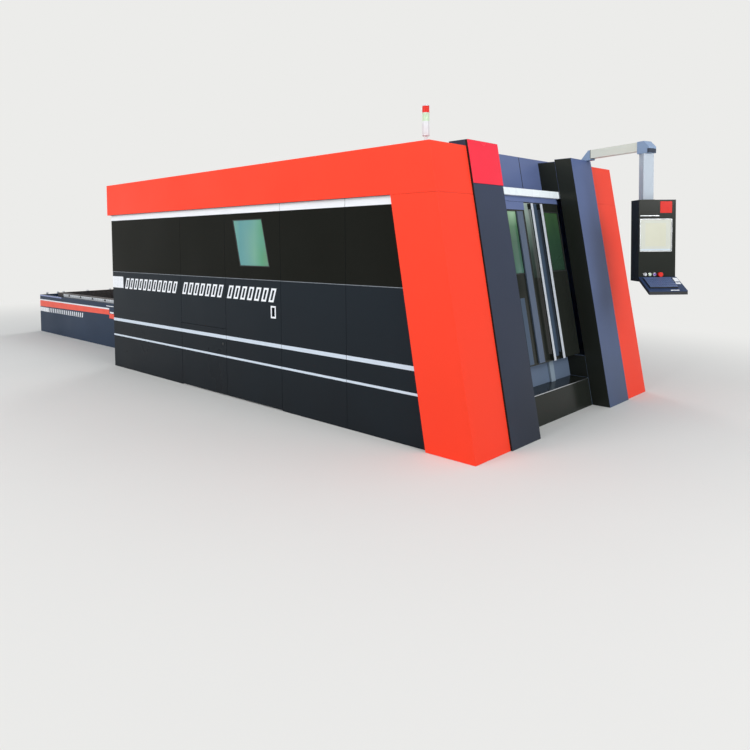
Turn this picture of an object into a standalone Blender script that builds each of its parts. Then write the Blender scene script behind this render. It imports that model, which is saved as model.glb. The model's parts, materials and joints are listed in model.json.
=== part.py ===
"""Enclosed fiber laser cutting machine with a two-level exchange table, at real size.

+X is the portal front, -X the exchange table, -Y the long side that faces the operator's aisle.
The origin lies on the floor under the middle of the enclosure, on the centre foot of the bed.
"""

import math

import bmesh
import bpy
from mathutils import Matrix

# Enclosure
LENGTH = 5.50
BED_SIDE_ROOM = 0.42
HEIGHT = 2.25
LEAN_SHARE = 0.1734
SHEET = 0.003
GAP = 0.0003
FASCIA_H = 0.368
FASCIA_TOP_DEPTH = 0.13
FASCIA_OVERHANG = 0.027
COLUMN_W = 0.44
COLUMN_D = 0.445
COLUMN_RETURN = 0.034
PILLAR_W = 0.41
PILLAR_DEPTH = 0.17
PILLAR_RISE = 0.05
PILLAR_LEAD = 0.013
CAP_H = 0.333
CAP_T = 0.006
CUT_OVERRUN = 0.05

# Side panels, doors and hatches. The seams are distances from the rear end.
SIDE_INSET = 0.039
PANEL_T = 0.025
PANEL_SHEET = 0.002
PANEL_TUCK = 0.02
SEAM = 0.003
FASCIA_SEAM = 0.0008
BAND_H = 0.069
HATCH_SEAM_X = 1.635
DOOR_SEAM_X = 2.482
DOOR_END_X = 3.360
FRONT_SEAM_X = 4.205
HATCH_TOP = 0.675
DOOR_FOOT = 0.01
WINDOW_W = 0.443
WINDOW_H = 0.43
WINDOW_LIP = 0.158
WINDOW_DROP = 0.0655
WINDOW_LEAN_SHARE = 0.25
GLASS_T = 0.006
PULL_W = 0.044
PULL_H = 0.084
PULL_LIP = 0.0875
PULL_FOOT = 0.853
PULL_DEPTH = 0.018
PULL_WALL = 0.002

# Inner frame and roof
TUBE = 0.06
ROOF_T = 0.025
ROOF_DROP = 0.07

# Recessed portal front. Setbacks are measured behind the leaning plane of the column covers.
WALL_SETBACK = 0.337
WALL_T = 0.03
HEADER_RISE = 0.06
HEADER_H = 0.44
HEADER_SEAM_Y = 0.28
HEADER_SEAM_W = 0.006
HEADER_SEAM_DEPTH = 0.004
POCKET_H = 0.355
POCKET_DROP = 0.03
REVEAL_SETBACK = 0.25
REVEAL_T = 0.02
DOORWAY_SIDE = 0.035
DOORWAY_FOOT = 0.50
DOORWAY_DROP = 0.04
KICK_TOP = 0.45
POST_W = 0.07
POST_T = 0.02
POST_Y = 0.27
SILL_H = 0.25
LIGHT_BAR_DROP = 0.388
LIGHT_BAR_H = 0.064
LIGHT_BAR_T = 0.055

# Sliding front leaves
LEAF_SETBACK = 0.20
LEAF_T = 0.035
LEAF_FOOT = 0.47
LEAF_MEET_Y = 0.16
LEAF_SIDE_GAP = 0.003
LEAF_GLASS_LIP = 0.185
LEAF_GLASS_W = 0.255
LEAF_GLASS_DROP = 0.085
LEAF_GLASS_H = 0.535
PULL_BAR_W = 0.024
PULL_BAR_T = 0.014
PULL_BAR_STANDOFF = 0.026
PULL_BAR_LIP = 0.066
PULL_BAR_END = 0.012
PULL_BAR_FOOT_H = 0.05
HANGER_W = 0.05
HANGER_T = 0.008
HANGER_INSET = 0.06
STILE_W = 0.09
STILE_T = 0.012
STILE_LIP = 0.21

# Rear wall and shutter
REAR_T = 0.03
REAR_OPENING_W = 1.70
REAR_OPENING_FOOT = 0.22
REAR_OPENING_TOP = 0.80
SHUTTER_T = 0.012
SHUTTER_LAP = 0.02
SHUTTER_GUIDE_W = 0.03
SHUTTER_GUIDE_T = 0.02
SHUTTER_LIP = 0.06

# Bed and its two levels of pallet ledges
BED_REAR_GAP = 0.07
BED_LENGTH = 4.70
BED_BEAM_W = 0.26
BED_H = 0.90
BED_FOOT_H = 0.06
BED_FOOT_R = 0.055
BED_FOOT_STATIONS = 4
BED_CROSS_W = 0.12
BED_CROSS_H = 0.12
CHANNEL_HALF = 0.80
LEDGE_T = 0.025
LEDGE_W = 0.055
RAIL_W = 0.045
RAIL_H = 0.03

# Pallets
PALLET_LENGTH = 3.30
PALLET_SIDE_ROOM = 0.065
PALLET_H = 0.14
PALLET_BEAM = 0.05
PALLET_TOP = 0.70
LEVEL_DROP = 0.22
PALLET_TABLE_GAP = 0.35
PALLET_BED_GAP = 0.33
SLATS = 20
SLAT_T = 0.006
SLAT_H = 0.115
TOOTH_H = 0.022
TEETH = 11
SLAT_SEAT = 0.02
WHEEL_R = 0.035
WHEEL_W = 0.05
WHEEL_DROP = 0.02
WHEELS = 4

# Exchange table
TABLE_LENGTH = 4.22
TABLE_H = 0.645
TABLE_WALL = 0.03
TABLE_CROSS = 4
TABLE_CROSS_W = 0.10
TABLE_CROSS_FOOT = 0.05
TABLE_CROSS_H = 0.09
PIN_R = 0.013
PIN_H = 0.03
PIN_PLACE_SHARES = (-0.86, -0.64, -0.52, 0.0, 0.51)

# Gantry and head
GANTRY_HOME_X = 1.45
GANTRY_FOOT_X = 0.50
GANTRY_FOOT_Y = 0.16
GANTRY_FOOT_H = 0.09
GANTRY_BEAM_X = 0.28
GANTRY_BEAM_H = 0.30
GANTRY_RAIL_W = 0.03
GANTRY_RAIL_T = 0.02
GANTRY_RAIL_LIP = 0.04
DRIVE_W = 0.11
DRIVE_X = 0.16
DRIVE_H = 0.12
MOTOR_R = 0.045
MOTOR_H = 0.17
CARRIAGE_W = 0.32
CARRIAGE_H = 0.27
CARRIAGE_T = 0.03
CARRIAGE_BLOCK_T = 0.02
SLIDE_W = 0.17
SLIDE_H = 0.40
SLIDE_T = 0.03
SLIDE_DROP = 0.05
HEAD_R = 0.045
HEAD_TOP_H = 0.20
HEAD_BODY_H = 0.26
HEAD_NECK_R = 0.028
HEAD_STANDOFF = 0.012
HEAD_CONE_H = 0.07
NOZZLE_H = 0.045
NOZZLE_R = 0.014
NOZZLE_TIP_R = 0.004
NOZZLE_BORE_R = 0.0015
NOZZLE_LIFT = 0.045

# Pendant arm
ARM_PIVOT_X = 0.42
ARM_PIVOT_INSET = 0.036
ARM_REACH = 0.7157
ARM_REST_DEG = -18.26
ARM_FOOT_W = 0.07
ARM_FOOT_BACK = 0.03
ARM_FOOT_FLAT = 0.065
ARM_FOOT_FRONT = 0.09
ARM_FOOT_EDGE = 0.012
BEAM_H = 0.08
BEAM_W = 0.065
BEAM_RISE = 0.016
ELBOW_L = 0.13
ELBOW_W = 0.095
ELBOW_H = 0.11
ELBOW_CHAMFER = 0.055
ELBOW_DROP = 0.028
TUBE_W = 0.092
TUBE_LENGTH = 0.412
TUBE_WALL = 0.004

# Pendant
PENDANT_TURN_DEG = 45.0
PENDANT_W = 0.325
PENDANT_D = 0.165
PENDANT_H = 0.714
PENDANT_SHIFT_X = 0.052
PENDANT_SHIFT_Y = 0.03
PENDANT_BEVEL = 0.006
SCREEN_W = 0.272
SCREEN_H = 0.275
SCREEN_SHIFT_X = -0.012
SCREEN_DROP = 0.172
SCREEN_DEPTH = 0.008
SCREEN_T = 0.005
TRAY_D = 0.235
TRAY_SHIFT_X = 0.005
TRAY_T = 0.034
TRAY_SLOPE_DEG = 27.0
TRAY_RISE = 0.04
TRAY_LIP = 0.004
KEYBOARD_W = 0.24
KEYBOARD_D = 0.165
KEYBOARD_T = 0.008
KEYBOARD_X = -0.017
KEYBOARD_BACK = 0.03
KEY_ROWS = 5
KEY_ROW_H = 0.005
KEY_ROW_SHARE = 0.78
PAD_W = 0.045
PAD_D = 0.07
PAD_X = 0.138
BUTTON_R = 0.011
BUTTON_H = 0.010
BUTTON_BORE_DEPTH = 0.012
BUTTON_BOSS_H = 0.006
BUTTON_RISE = 0.062
BUTTON_PITCH = 0.042
BUTTON_FIRST_X = -0.105
ESTOP_R = 0.02
ESTOP_STEM_R = 0.010
ESTOP_H = 0.024
SELECTOR_GRIP = 0.006

# Signal tower
TOWER_X_BACK = 0.155
TOWER_Y_INSET = 0.155
TOWER_R = 0.027
TOWER_BASE_R = 0.036
TOWER_BASE_H = 0.028
TOWER_POLE_R = 0.011
TOWER_POLE_H = 0.030
TOWER_BODY_H = 0.105
LENS_H = 0.062
LENS_STEP_R = 0.020

ROUND_STEPS = 24

POST_SEAMS = (HATCH_SEAM_X, DOOR_SEAM_X, DOOR_END_X, FRONT_SEAM_X)
TIP_X = LENGTH / 2
REAR_X = -LENGTH / 2
SIDE_Y = CHANNEL_HALF + BED_BEAM_W + BED_SIDE_ROOM
PANEL_Y = SIDE_Y - SIDE_INSET
FASCIA_Z = HEIGHT - FASCIA_H
ROOF_Z = HEIGHT - ROOF_DROP
HEADER_TOP = HEIGHT + HEADER_RISE
HEADER_FOOT = HEADER_TOP - HEADER_H
POCKET_TOP = HEADER_TOP - POCKET_DROP
POCKET_FOOT = POCKET_TOP - POCKET_H
LIGHT_BAR_Z = HEADER_TOP - LIGHT_BAR_DROP
DOORWAY_TOP = HEADER_FOOT - DOORWAY_DROP
LEAF_TOP = HEADER_FOOT
PALLET_HALF = CHANNEL_HALF - PALLET_SIDE_ROOM
BAND_Z = FASCIA_Z - BAND_H
PILLAR_IN_Y = SIDE_Y - COLUMN_D - PILLAR_W
PILLAR_OUT_Y = SIDE_Y - COLUMN_D
PILLAR_TOP = HEIGHT + PILLAR_RISE
LEAF_W = PILLAR_IN_Y - LEAF_SIDE_GAP - LEAF_MEET_Y
PILLAR_BACK = PILLAR_DEPTH - PILLAR_LEAD
POST_IN_Y = PANEL_Y - PANEL_T - GAP - TUBE
REAR_IN_X = REAR_X + REAR_T
BED_X0 = REAR_IN_X + BED_REAR_GAP
BED_X1 = BED_X0 + BED_LENGTH
UPPER_LEDGE_Z = PALLET_TOP - PALLET_H - WHEEL_DROP - GAP
LOWER_LEDGE_Z = UPPER_LEDGE_Z - LEVEL_DROP
TABLE_X0 = REAR_X - GAP - TABLE_LENGTH
RAIL_TOP = BED_H + RAIL_H
GANTRY_Z = RAIL_TOP + GAP + GANTRY_FOOT_H
GANTRY_TOP = GANTRY_Z + GANTRY_BEAM_H


def front_x(z, setback=0.0):
    """X of the leaning front at a height, a setback behind the column covers."""
    return TIP_X - LEAN_SHARE * z - setback


def clear_scene():
    for obj in list(bpy.data.objects):
        bpy.data.objects.remove(obj, do_unlink=True)


def new_collection(name):
    made = bpy.data.collections.new(name)
    bpy.context.scene.collection.children.link(made)
    return made


def paint(name, colour, rough, metal=0.0, alpha=1.0):
    """A Principled material with the part's own colour."""
    made = bpy.data.materials.new(name)
    made.use_nodes = True
    shader = made.node_tree.nodes["Principled BSDF"]
    shader.inputs["Base Color"].default_value = (*colour, 1.0)
    shader.inputs["Roughness"].default_value = rough
    shader.inputs["Metallic"].default_value = metal
    shader.inputs["Alpha"].default_value = alpha
    return made


def add_object(name, mesh, material=None, helper=False):
    obj = bpy.data.objects.new(name, mesh)
    (CUTTERS if helper else MACHINE).objects.link(obj)
    if material:
        mesh.materials.append(material)
    if helper:
        obj.hide_render = True
        obj.display_type = "WIRE"
    return obj


def mesh_from(name, bm):
    bmesh.ops.recalc_face_normals(bm, faces=bm.faces)
    mesh = bpy.data.meshes.new(name)
    bm.to_mesh(mesh)
    bm.free()
    return mesh


def prism_bmesh(outline, axis, low, high):
    """A flat outline across an axis, extruded along it: (y, z) for X, (x, z) for Y, (x, y) for Z."""
    place = {
        "X": lambda a, b: (low, a, b),
        "Y": lambda a, b: (a, low, b),
        "Z": lambda a, b: (a, b, low),
    }[axis]
    step = {"X": (high - low, 0, 0), "Y": (0, high - low, 0), "Z": (0, 0, high - low)}[axis]
    bm = bmesh.new()
    face = bm.faces.new([bm.verts.new(place(a, b)) for a, b in outline])
    moved = bmesh.ops.extrude_face_region(bm, geom=[face])["geom"]
    verts = [item for item in moved if isinstance(item, bmesh.types.BMVert)]
    bmesh.ops.translate(bm, vec=step, verts=verts)
    bmesh.ops.recalc_face_normals(bm, faces=bm.faces)
    return bm


def prism(name, outline, axis, low, high, material=None, helper=False):
    mesh = mesh_from(name, prism_bmesh(outline, axis, low, high))
    return add_object(name, mesh, material, helper)


def rectangle(a0, a1, b0, b1):
    return [(a0, b0), (a1, b0), (a1, b1), (a0, b1)]


def box(name, low, high, material=None, helper=False):
    """A box between two corners, from a unit cube."""
    bm = bmesh.new()
    bmesh.ops.create_cube(bm, size=1)
    size = [h - l for l, h in zip(low, high)]
    centre = [(h + l) / 2 for l, h in zip(low, high)]
    bmesh.ops.scale(bm, vec=size, verts=bm.verts)
    bmesh.ops.translate(bm, vec=centre, verts=bm.verts)
    return add_object(name, mesh_from(name, bm), material, helper)


def rod(name, radius, length, matrix, material=None, helper=False, top_radius=None):
    """A cylinder or cone from z 0 up, placed by a matrix."""
    bm = bmesh.new()
    bmesh.ops.create_cone(
        bm,
        cap_ends=True,
        segments=ROUND_STEPS,
        radius1=radius,
        radius2=radius if top_radius is None else top_radius,
        depth=length,
        matrix=matrix @ Matrix.Translation((0, 0, length / 2)),
    )
    obj = add_object(name, mesh_from(name, bm), material, helper)
    smooth(obj)
    return obj


def turned(name, profile, material):
    """A profile of (radius, height) points, top to bottom down its outer side, turned about Z."""
    bm = bmesh.new()
    verts = [bm.verts.new((r, 0, z)) for r, z in profile]
    for first, second in zip(verts, verts[1:]):
        bm.edges.new((first, second))
    mesh = bpy.data.meshes.new(name)
    bm.to_mesh(mesh)
    bm.free()
    obj = add_object(name, mesh, material)
    screw = obj.modifiers.new("turn", "SCREW")
    screw.steps = ROUND_STEPS
    screw.render_steps = ROUND_STEPS
    screw.use_merge_vertices = True
    screw.merge_threshold = 0.0001
    return obj


def smooth(obj):
    obj.data.shade_smooth()
    obj.data.set_sharp_from_angle(angle=math.radians(35))


def cut(obj, other, operation="DIFFERENCE"):
    """Works a helper into an object that it was built beside, and makes it travel along."""
    made = obj.modifiers.new(other.name, "BOOLEAN")
    made.operation = operation
    made.object = other
    other.parent = obj
    return obj


def fuse(obj, other):
    return cut(obj, other, "UNION")


def welded(name, boxes, material):
    """Boxes that overlap or meet, joined into one body."""
    obj = box(name, *boxes[0], material)
    for number, (low, high) in enumerate(boxes[1:], 1):
        fuse(obj, box(f"{name}_member_{number}", low, high, helper=True))
    return obj


def folded(name, bm, open_faces, wall, material):
    """A folded sheet: the skin of a body without its open faces, made solid to the inside."""
    bmesh.ops.delete(bm, geom=open_faces, context="FACES")
    mesh = bpy.data.meshes.new(name)
    bm.to_mesh(mesh)
    bm.free()
    obj = add_object(name, mesh, material)
    fold = obj.modifiers.new("sheet", "SOLIDIFY")
    fold.thickness = wall
    fold.offset = -1
    fold.use_even_offset = True
    return obj


def looking(bm, ways):
    """The faces of a body that look one of some ways."""
    bm.normal_update()
    return [f for f in bm.faces if any(f.normal.dot(way) > 0.9 for way in ways)]


def pan(name, outline, axis, low, high, open_way, material):
    """A panel of thin sheet with its edges folded back, open on one side."""
    bm = prism_bmesh(outline, axis, low, high)
    return folded(name, bm, looking(bm, [open_way]), PANEL_SHEET, material)


def lean_bmesh(bm):
    """Leans what stands in the front half back with height."""
    for vert in bm.verts:
        if vert.co.x > 0:
            vert.co.x -= LEAN_SHARE * vert.co.z


def leaning_prism(name, outline, z0, z1, material=None, helper=False):
    """A plan outline given at floor level, raised from z0 to z1 along the front's lean."""
    bm = prism_bmesh(outline, "Z", z0, z1)
    lean_bmesh(bm)
    return add_object(name, mesh_from(name, bm), material, helper)


def leaning_block(name, y0, y1, z0, z1, setback, depth, material=None, helper=False):
    plan = rectangle(TIP_X - setback - depth, TIP_X - setback, y0, y1)
    return leaning_prism(name, plan, z0, z1, material, helper)


def baked(obj):
    """Replaces an object's mesh and modifiers by its evaluated mesh, so that copies can share it."""
    bpy.context.view_layer.update()
    graph = bpy.context.evaluated_depsgraph_get()
    made = bpy.data.meshes.new_from_object(obj.evaluated_get(graph))
    obj.modifiers.clear()
    obj.data = made
    return obj


def empty(name, location, turn=0.0, parent=None):
    obj = bpy.data.objects.new(name, None)
    MACHINE.objects.link(obj)
    obj.parent = parent
    obj.location = location
    obj.rotation_euler = (0, 0, turn)
    bpy.context.view_layer.update()
    return obj


def hang(pieces, joint):
    """Parents pieces to a joint's empty, leaving them where they stand."""
    for piece in pieces:
        piece.parent = joint
        piece.matrix_parent_inverse = joint.matrix_world.inverted()


def side_name(side):
    return "near" if side < 0 else "far"


def span(side, inner, outer):
    """The Y range between two distances from the centre plane, on one side of it."""
    return sorted((side * inner, side * outer))


def side_pan(name, outline, side, material):
    """A cassette panel: its face on the outer side, its folds towards the frame."""
    low, high = span(side, PANEL_Y - PANEL_T, PANEL_Y)
    return pan(name, outline, "Y", low, high, (0, -side, 0), material)


def seam_x(distance):
    return REAR_X + distance


def make_side(side):
    name = side_name(side)
    top = FASCIA_Z + PANEL_TUCK
    x0, hatch, door, door_end, front = (
        seam_x(d) for d in (0.0, HATCH_SEAM_X, DOOR_SEAM_X, DOOR_END_X, FRONT_SEAM_X)
    )
    half = SEAM / 2

    rear = [
        (x0, 0),
        (hatch - half, 0),
        (hatch - half, BAND_Z),
        (door_end - half, BAND_Z),
        (door_end - half, top),
        (x0, top),
    ]
    side_pan(f"{name}_rear_panel", rear, side, SLATE)
    middle = rectangle(hatch + half, door - half, HATCH_TOP, BAND_Z - SEAM)
    side_pan(f"{name}_hatch_panel", middle, side, SLATE)
    front_panel = rectangle(door_end + half, front - half, 0, top)
    side_pan(f"{name}_middle_panel", front_panel, side, SLATE)
    last = [
        (front + half, 0),
        (front_x(0, COLUMN_W + SEAM), 0),
        (front_x(top, COLUMN_W + SEAM), top),
        (front + half, top),
    ]
    side_pan(f"{name}_front_panel", last, side, SLATE)

    hatch_outline = rectangle(hatch + half, door - half, DOOR_FOOT, HATCH_TOP - SEAM)
    hatch_leaf = side_pan(f"{name}_service_hatch", hatch_outline, side, SLATE)
    outer = side * PANEL_Y
    hang([hatch_leaf], empty(f"{name}_hatch_hinge", (hatch + half, outer, 0)))

    leaf, glass = make_side_door(side, door + half, door_end - half)
    hang([leaf, glass], empty(f"{name}_door_hinge", (door + half, outer, 0)))

    make_fascia(side)
    make_column_cover(side)
    make_pillar(side)


def make_side_door(side, x0, x1):
    """The service door with its slanted window and flush pull."""
    name = side_name(side)
    outline = rectangle(x0, x1, DOOR_FOOT, BAND_Z - SEAM)
    leaf = side_pan(f"{name}_side_door", outline, side, SLATE)
    low, high = span(side, PANEL_Y - PANEL_T - CUT_OVERRUN, PANEL_Y + CUT_OVERRUN)
    slip = WINDOW_LEAN_SHARE * WINDOW_H
    left = x0 + WINDOW_LIP
    head = BAND_Z - SEAM - WINDOW_DROP
    window = [
        (left + slip, head - WINDOW_H),
        (left + slip + WINDOW_W, head - WINDOW_H),
        (left + WINDOW_W, head),
        (left, head),
    ]
    cut(leaf, prism(f"{name}_window_cutter", window, "Y", low, high, helper=True))
    pane = [
        (window[0][0] + GAP, window[0][1] + GAP),
        (window[1][0] - GAP, window[1][1] + GAP),
        (window[2][0] - GAP, window[2][1] - GAP),
        (window[3][0] + GAP, window[3][1] - GAP),
    ]
    low, high = span(side, PANEL_Y - GLASS_T, PANEL_Y)
    glass = prism(f"{name}_door_glass", pane, "Y", low, high, GREEN_GLASS)

    pull_x = x1 - PULL_LIP - PULL_W
    low, high = span(side, PANEL_Y - PULL_DEPTH, PANEL_Y - PANEL_SHEET / 2)
    cup = prism(
        f"{name}_pull_cup",
        rectangle(pull_x, pull_x + PULL_W, PULL_FOOT, PULL_FOOT + PULL_H),
        "Y",
        low,
        high,
        helper=True,
    )
    fuse(leaf, cup)
    low, high = span(side, PANEL_Y - PULL_DEPTH + PULL_WALL, PANEL_Y + CUT_OVERRUN)
    hollow = rectangle(
        pull_x + PULL_WALL,
        pull_x + PULL_W - PULL_WALL,
        PULL_FOOT + PULL_WALL,
        PULL_FOOT + PULL_H - PULL_WALL,
    )
    cut(leaf, prism(f"{name}_pull_hollow", hollow, "Y", low, high, helper=True))
    return leaf, glass


def make_fascia(side):
    """The long red band, which turns the front corner as a block over the column cover."""
    rear = REAR_X - FASCIA_OVERHANG
    outer = side * SIDE_Y
    plan = [
        (rear, outer),
        (TIP_X, outer),
        (TIP_X, side * PILLAR_OUT_Y + side * SEAM),
        (TIP_X - COLUMN_W, side * PILLAR_OUT_Y + side * SEAM),
        (TIP_X - COLUMN_W, side * (SIDE_Y - FASCIA_TOP_DEPTH)),
        (rear, side * (SIDE_Y - FASCIA_TOP_DEPTH)),
    ]
    bm = prism_bmesh(plan, "Z", FASCIA_Z, HEIGHT)
    out = looking(bm, [(0, 0, -1), (0, -side, 0)])
    out += [f for f in looking(bm, [(-1, 0, 0)]) if f.calc_center_median().x > 0]
    lean_bmesh(bm)
    return folded(f"{side_name(side)}_fascia", bm, out, SHEET, RED)


def make_column_cover(side):
    """Two folded faces below the fascia, with a return behind the side face."""
    outer = side * SIDE_Y
    inner = side * PILLAR_OUT_Y + side * SEAM
    back = TIP_X - COLUMN_W
    lip = side * (SIDE_Y - COLUMN_RETURN)
    sheet = SHEET
    plan = [
        (TIP_X, inner),
        (TIP_X, outer),
        (back, outer),
        (back, lip),
        (back + sheet, lip),
        (back + sheet, outer - side * sheet),
        (TIP_X - sheet, outer - side * sheet),
        (TIP_X - sheet, inner),
    ]
    return leaning_prism(f"{side_name(side)}_column_cover", plan, 0, FASCIA_Z - FASCIA_SEAM, RED)


def make_pillar(side):
    """A leaning closed box, taller than the covers beside it. The near one carries a cap panel."""
    y0, y1 = span(side, PILLAR_IN_Y, PILLAR_OUT_Y)
    name = f"{side_name(side)}_pillar"
    leaning_block(name, y0, y1, 0, PILLAR_TOP, -PILLAR_LEAD, PILLAR_DEPTH, SLATE_LIGHT)
    if side < 0:
        foot = PILLAR_TOP - CAP_H
        setback = -PILLAR_LEAD - GAP - CAP_T
        leaning_block("near_pillar_cap", y0, y1, foot, PILLAR_TOP, setback, CAP_T, CAP_RED)


def make_frame():
    """Square-tube frame behind the panels: posts at the seams, two top rails and their ties."""
    top = ROOF_Z - GAP
    rail_end = front_x(top, WALL_SETBACK + WALL_T) - GAP
    stations = [REAR_IN_X + GAP + TUBE / 2]
    stations += [seam_x(d) for d in POST_SEAMS]
    boxes = []
    for side in (-1, 1):
        y0, y1 = span(side, POST_IN_Y, POST_IN_Y + TUBE)
        rail_start = REAR_IN_X + GAP
        boxes.append(((rail_start, y0, top - TUBE), (rail_end, y1, top)))
        for x in stations:
            boxes.append(((x - TUBE / 2, y0, 0), (x + TUBE / 2, y1, top - TUBE / 2)))
    for x in (stations[0], stations[2], stations[4]):
        low = (x - TUBE / 2, -POST_IN_Y - TUBE / 2, top - TUBE)
        boxes.append((low, (x + TUBE / 2, POST_IN_Y + TUBE / 2, top)))
    welded("enclosure_frame", boxes, GREY)


def make_roof():
    y = SIDE_Y - SHEET - GAP
    x1 = front_x(ROOF_Z + ROOF_T, WALL_SETBACK + WALL_T) - GAP
    outline = rectangle(REAR_X, x1, -y, y)
    return pan("roof_panel", outline, "Z", ROOF_Z, ROOF_Z + ROOF_T, (0, 0, -1), SLATE)


def make_rear():
    y = PANEL_Y - PANEL_T - GAP
    outline = rectangle(-y, y, 0, ROOF_Z - GAP)
    wall = pan("rear_wall", outline, "X", REAR_X, REAR_IN_X, (1, 0, 0), SLATE)
    half = REAR_OPENING_W / 2
    frame = box(
        "rear_opening_frame",
        (REAR_X + PANEL_SHEET / 2, -half - SHUTTER_GUIDE_W, REAR_OPENING_FOOT - SHUTTER_GUIDE_W),
        (REAR_IN_X, half + SHUTTER_GUIDE_W, REAR_OPENING_TOP + SHUTTER_GUIDE_W),
        helper=True,
    )
    fuse(wall, frame)
    opening = box(
        "rear_opening_cutter",
        (REAR_X - CUT_OVERRUN, -half, REAR_OPENING_FOOT),
        (REAR_IN_X + CUT_OVERRUN, half, REAR_OPENING_TOP),
        helper=True,
    )
    cut(wall, opening)

    height = REAR_OPENING_TOP - REAR_OPENING_FOOT + SHUTTER_LAP + SHUTTER_LAP
    z0 = REAR_OPENING_TOP + GAP
    reach = half + SHUTTER_LAP
    x0 = REAR_X - GAP - SHUTTER_T
    shutter = box(
        "rear_shutter", (x0, -reach, z0), (x0 + SHUTTER_T, reach, z0 + height), SLATE_LIGHT
    )
    for side in (-1, 1):
        y0, y1 = span(side, reach + GAP, reach + GAP + SHUTTER_GUIDE_T)
        guide = box(
            f"shutter_guide_{side_name(side)}",
            (x0 - GAP - PANEL_SHEET, y0, REAR_OPENING_FOOT),
            (REAR_X + PANEL_SHEET / 2, y1, z0 + height),
            helper=True,
        )
        fuse(wall, guide)
        y0, y1 = span(side, reach - SHUTTER_LIP, reach + GAP + SHUTTER_GUIDE_T)
        lip = box(
            f"shutter_lip_{side_name(side)}",
            (x0 - GAP - PANEL_SHEET, y0, REAR_OPENING_FOOT),
            (x0 - GAP, y1, z0 + height),
            helper=True,
        )
        fuse(wall, lip)
    hang([shutter], empty("shutter_slide", (x0, 0, z0)))


def make_front():
    """The recessed portal between the pillars: header, light bar, wall, kick panel and sill."""
    out = PILLAR_OUT_Y
    header = leaning_block(
        "front_header", -out, out, HEADER_FOOT, HEADER_TOP, WALL_SETBACK, WALL_T, SLATE_LIGHT
    )
    for side in (-1, 1):
        y0, y1 = span(side, PILLAR_IN_Y, out)
        pocket = leaning_block(
            f"{side_name(side)}_pocket",
            y0,
            y1,
            POCKET_FOOT,
            POCKET_TOP,
            PILLAR_BACK + GAP,
            WALL_SETBACK - PILLAR_BACK,
            helper=True,
        )
        fuse(header, pocket)
    seam = leaning_block(
        "header_seam",
        HEADER_SEAM_Y - HEADER_SEAM_W / 2,
        HEADER_SEAM_Y + HEADER_SEAM_W / 2,
        HEADER_FOOT - CUT_OVERRUN,
        HEADER_TOP + CUT_OVERRUN,
        WALL_SETBACK - CUT_OVERRUN,
        CUT_OVERRUN + HEADER_SEAM_DEPTH,
        helper=True,
    )
    cut(header, seam)

    inner = PILLAR_IN_Y - GAP
    leaning_block(
        "front_light_bar",
        -inner,
        inner,
        LIGHT_BAR_Z,
        LIGHT_BAR_Z + LIGHT_BAR_H,
        PILLAR_BACK,
        LIGHT_BAR_T,
        WHITE,
    )

    side_y = PANEL_Y - PANEL_T - GAP
    wall = leaning_block(
        "front_wall",
        -side_y,
        side_y,
        KICK_TOP,
        HEADER_FOOT - GAP,
        WALL_SETBACK,
        WALL_T,
        SLATE_LIGHT,
    )
    for side in (-1, 1):
        y0, y1 = span(side, PILLAR_IN_Y, PILLAR_IN_Y + REVEAL_T)
        reveal = leaning_block(
            f"{side_name(side)}_reveal",
            y0,
            y1,
            KICK_TOP,
            HEADER_FOOT - GAP,
            REVEAL_SETBACK,
            WALL_SETBACK - REVEAL_SETBACK + WALL_T / 2,
            helper=True,
        )
        fuse(wall, reveal)
    doorway = leaning_block(
        "doorway_cutter",
        LEAF_MEET_Y - LEAF_W + DOORWAY_SIDE,
        LEAF_MEET_Y + LEAF_W - DOORWAY_SIDE,
        DOORWAY_FOOT,
        DOORWAY_TOP,
        WALL_SETBACK - CUT_OVERRUN,
        WALL_T + CUT_OVERRUN * 2,
        helper=True,
    )
    cut(wall, doorway)

    kick = leaning_block(
        "kick_panel", -side_y, side_y, 0, KICK_TOP - GAP, WALL_SETBACK, WALL_T, SLATE_LIGHT
    )
    post = leaning_block(
        "kick_post",
        POST_Y - POST_W / 2,
        POST_Y + POST_W / 2,
        0,
        KICK_TOP - GAP,
        WALL_SETBACK - POST_T,
        POST_T + WALL_T / 2,
        helper=True,
    )
    fuse(kick, post)
    for side in (-1, 1):
        y0, y1 = span(side, PILLAR_IN_Y, PILLAR_IN_Y + REVEAL_T)
        niche_side = leaning_block(
            f"{side_name(side)}_niche_side",
            y0,
            y1,
            0,
            KICK_TOP - GAP,
            PILLAR_BACK + GAP,
            WALL_SETBACK - PILLAR_BACK - GAP + WALL_T / 2,
            helper=True,
        )
        fuse(kick, niche_side)
    sill_depth = WALL_SETBACK - PILLAR_BACK - GAP
    sill = leaning_block(
        "sill_step", -inner, inner, 0, SILL_H, PILLAR_BACK, sill_depth, BLACK
    )
    notch = leaning_block(
        "post_notch",
        POST_Y - POST_W / 2 - GAP,
        POST_Y + POST_W / 2 + GAP,
        -CUT_OVERRUN,
        SILL_H + CUT_OVERRUN,
        WALL_SETBACK - POST_T - GAP,
        CUT_OVERRUN,
        helper=True,
    )
    cut(sill, notch)


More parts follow.
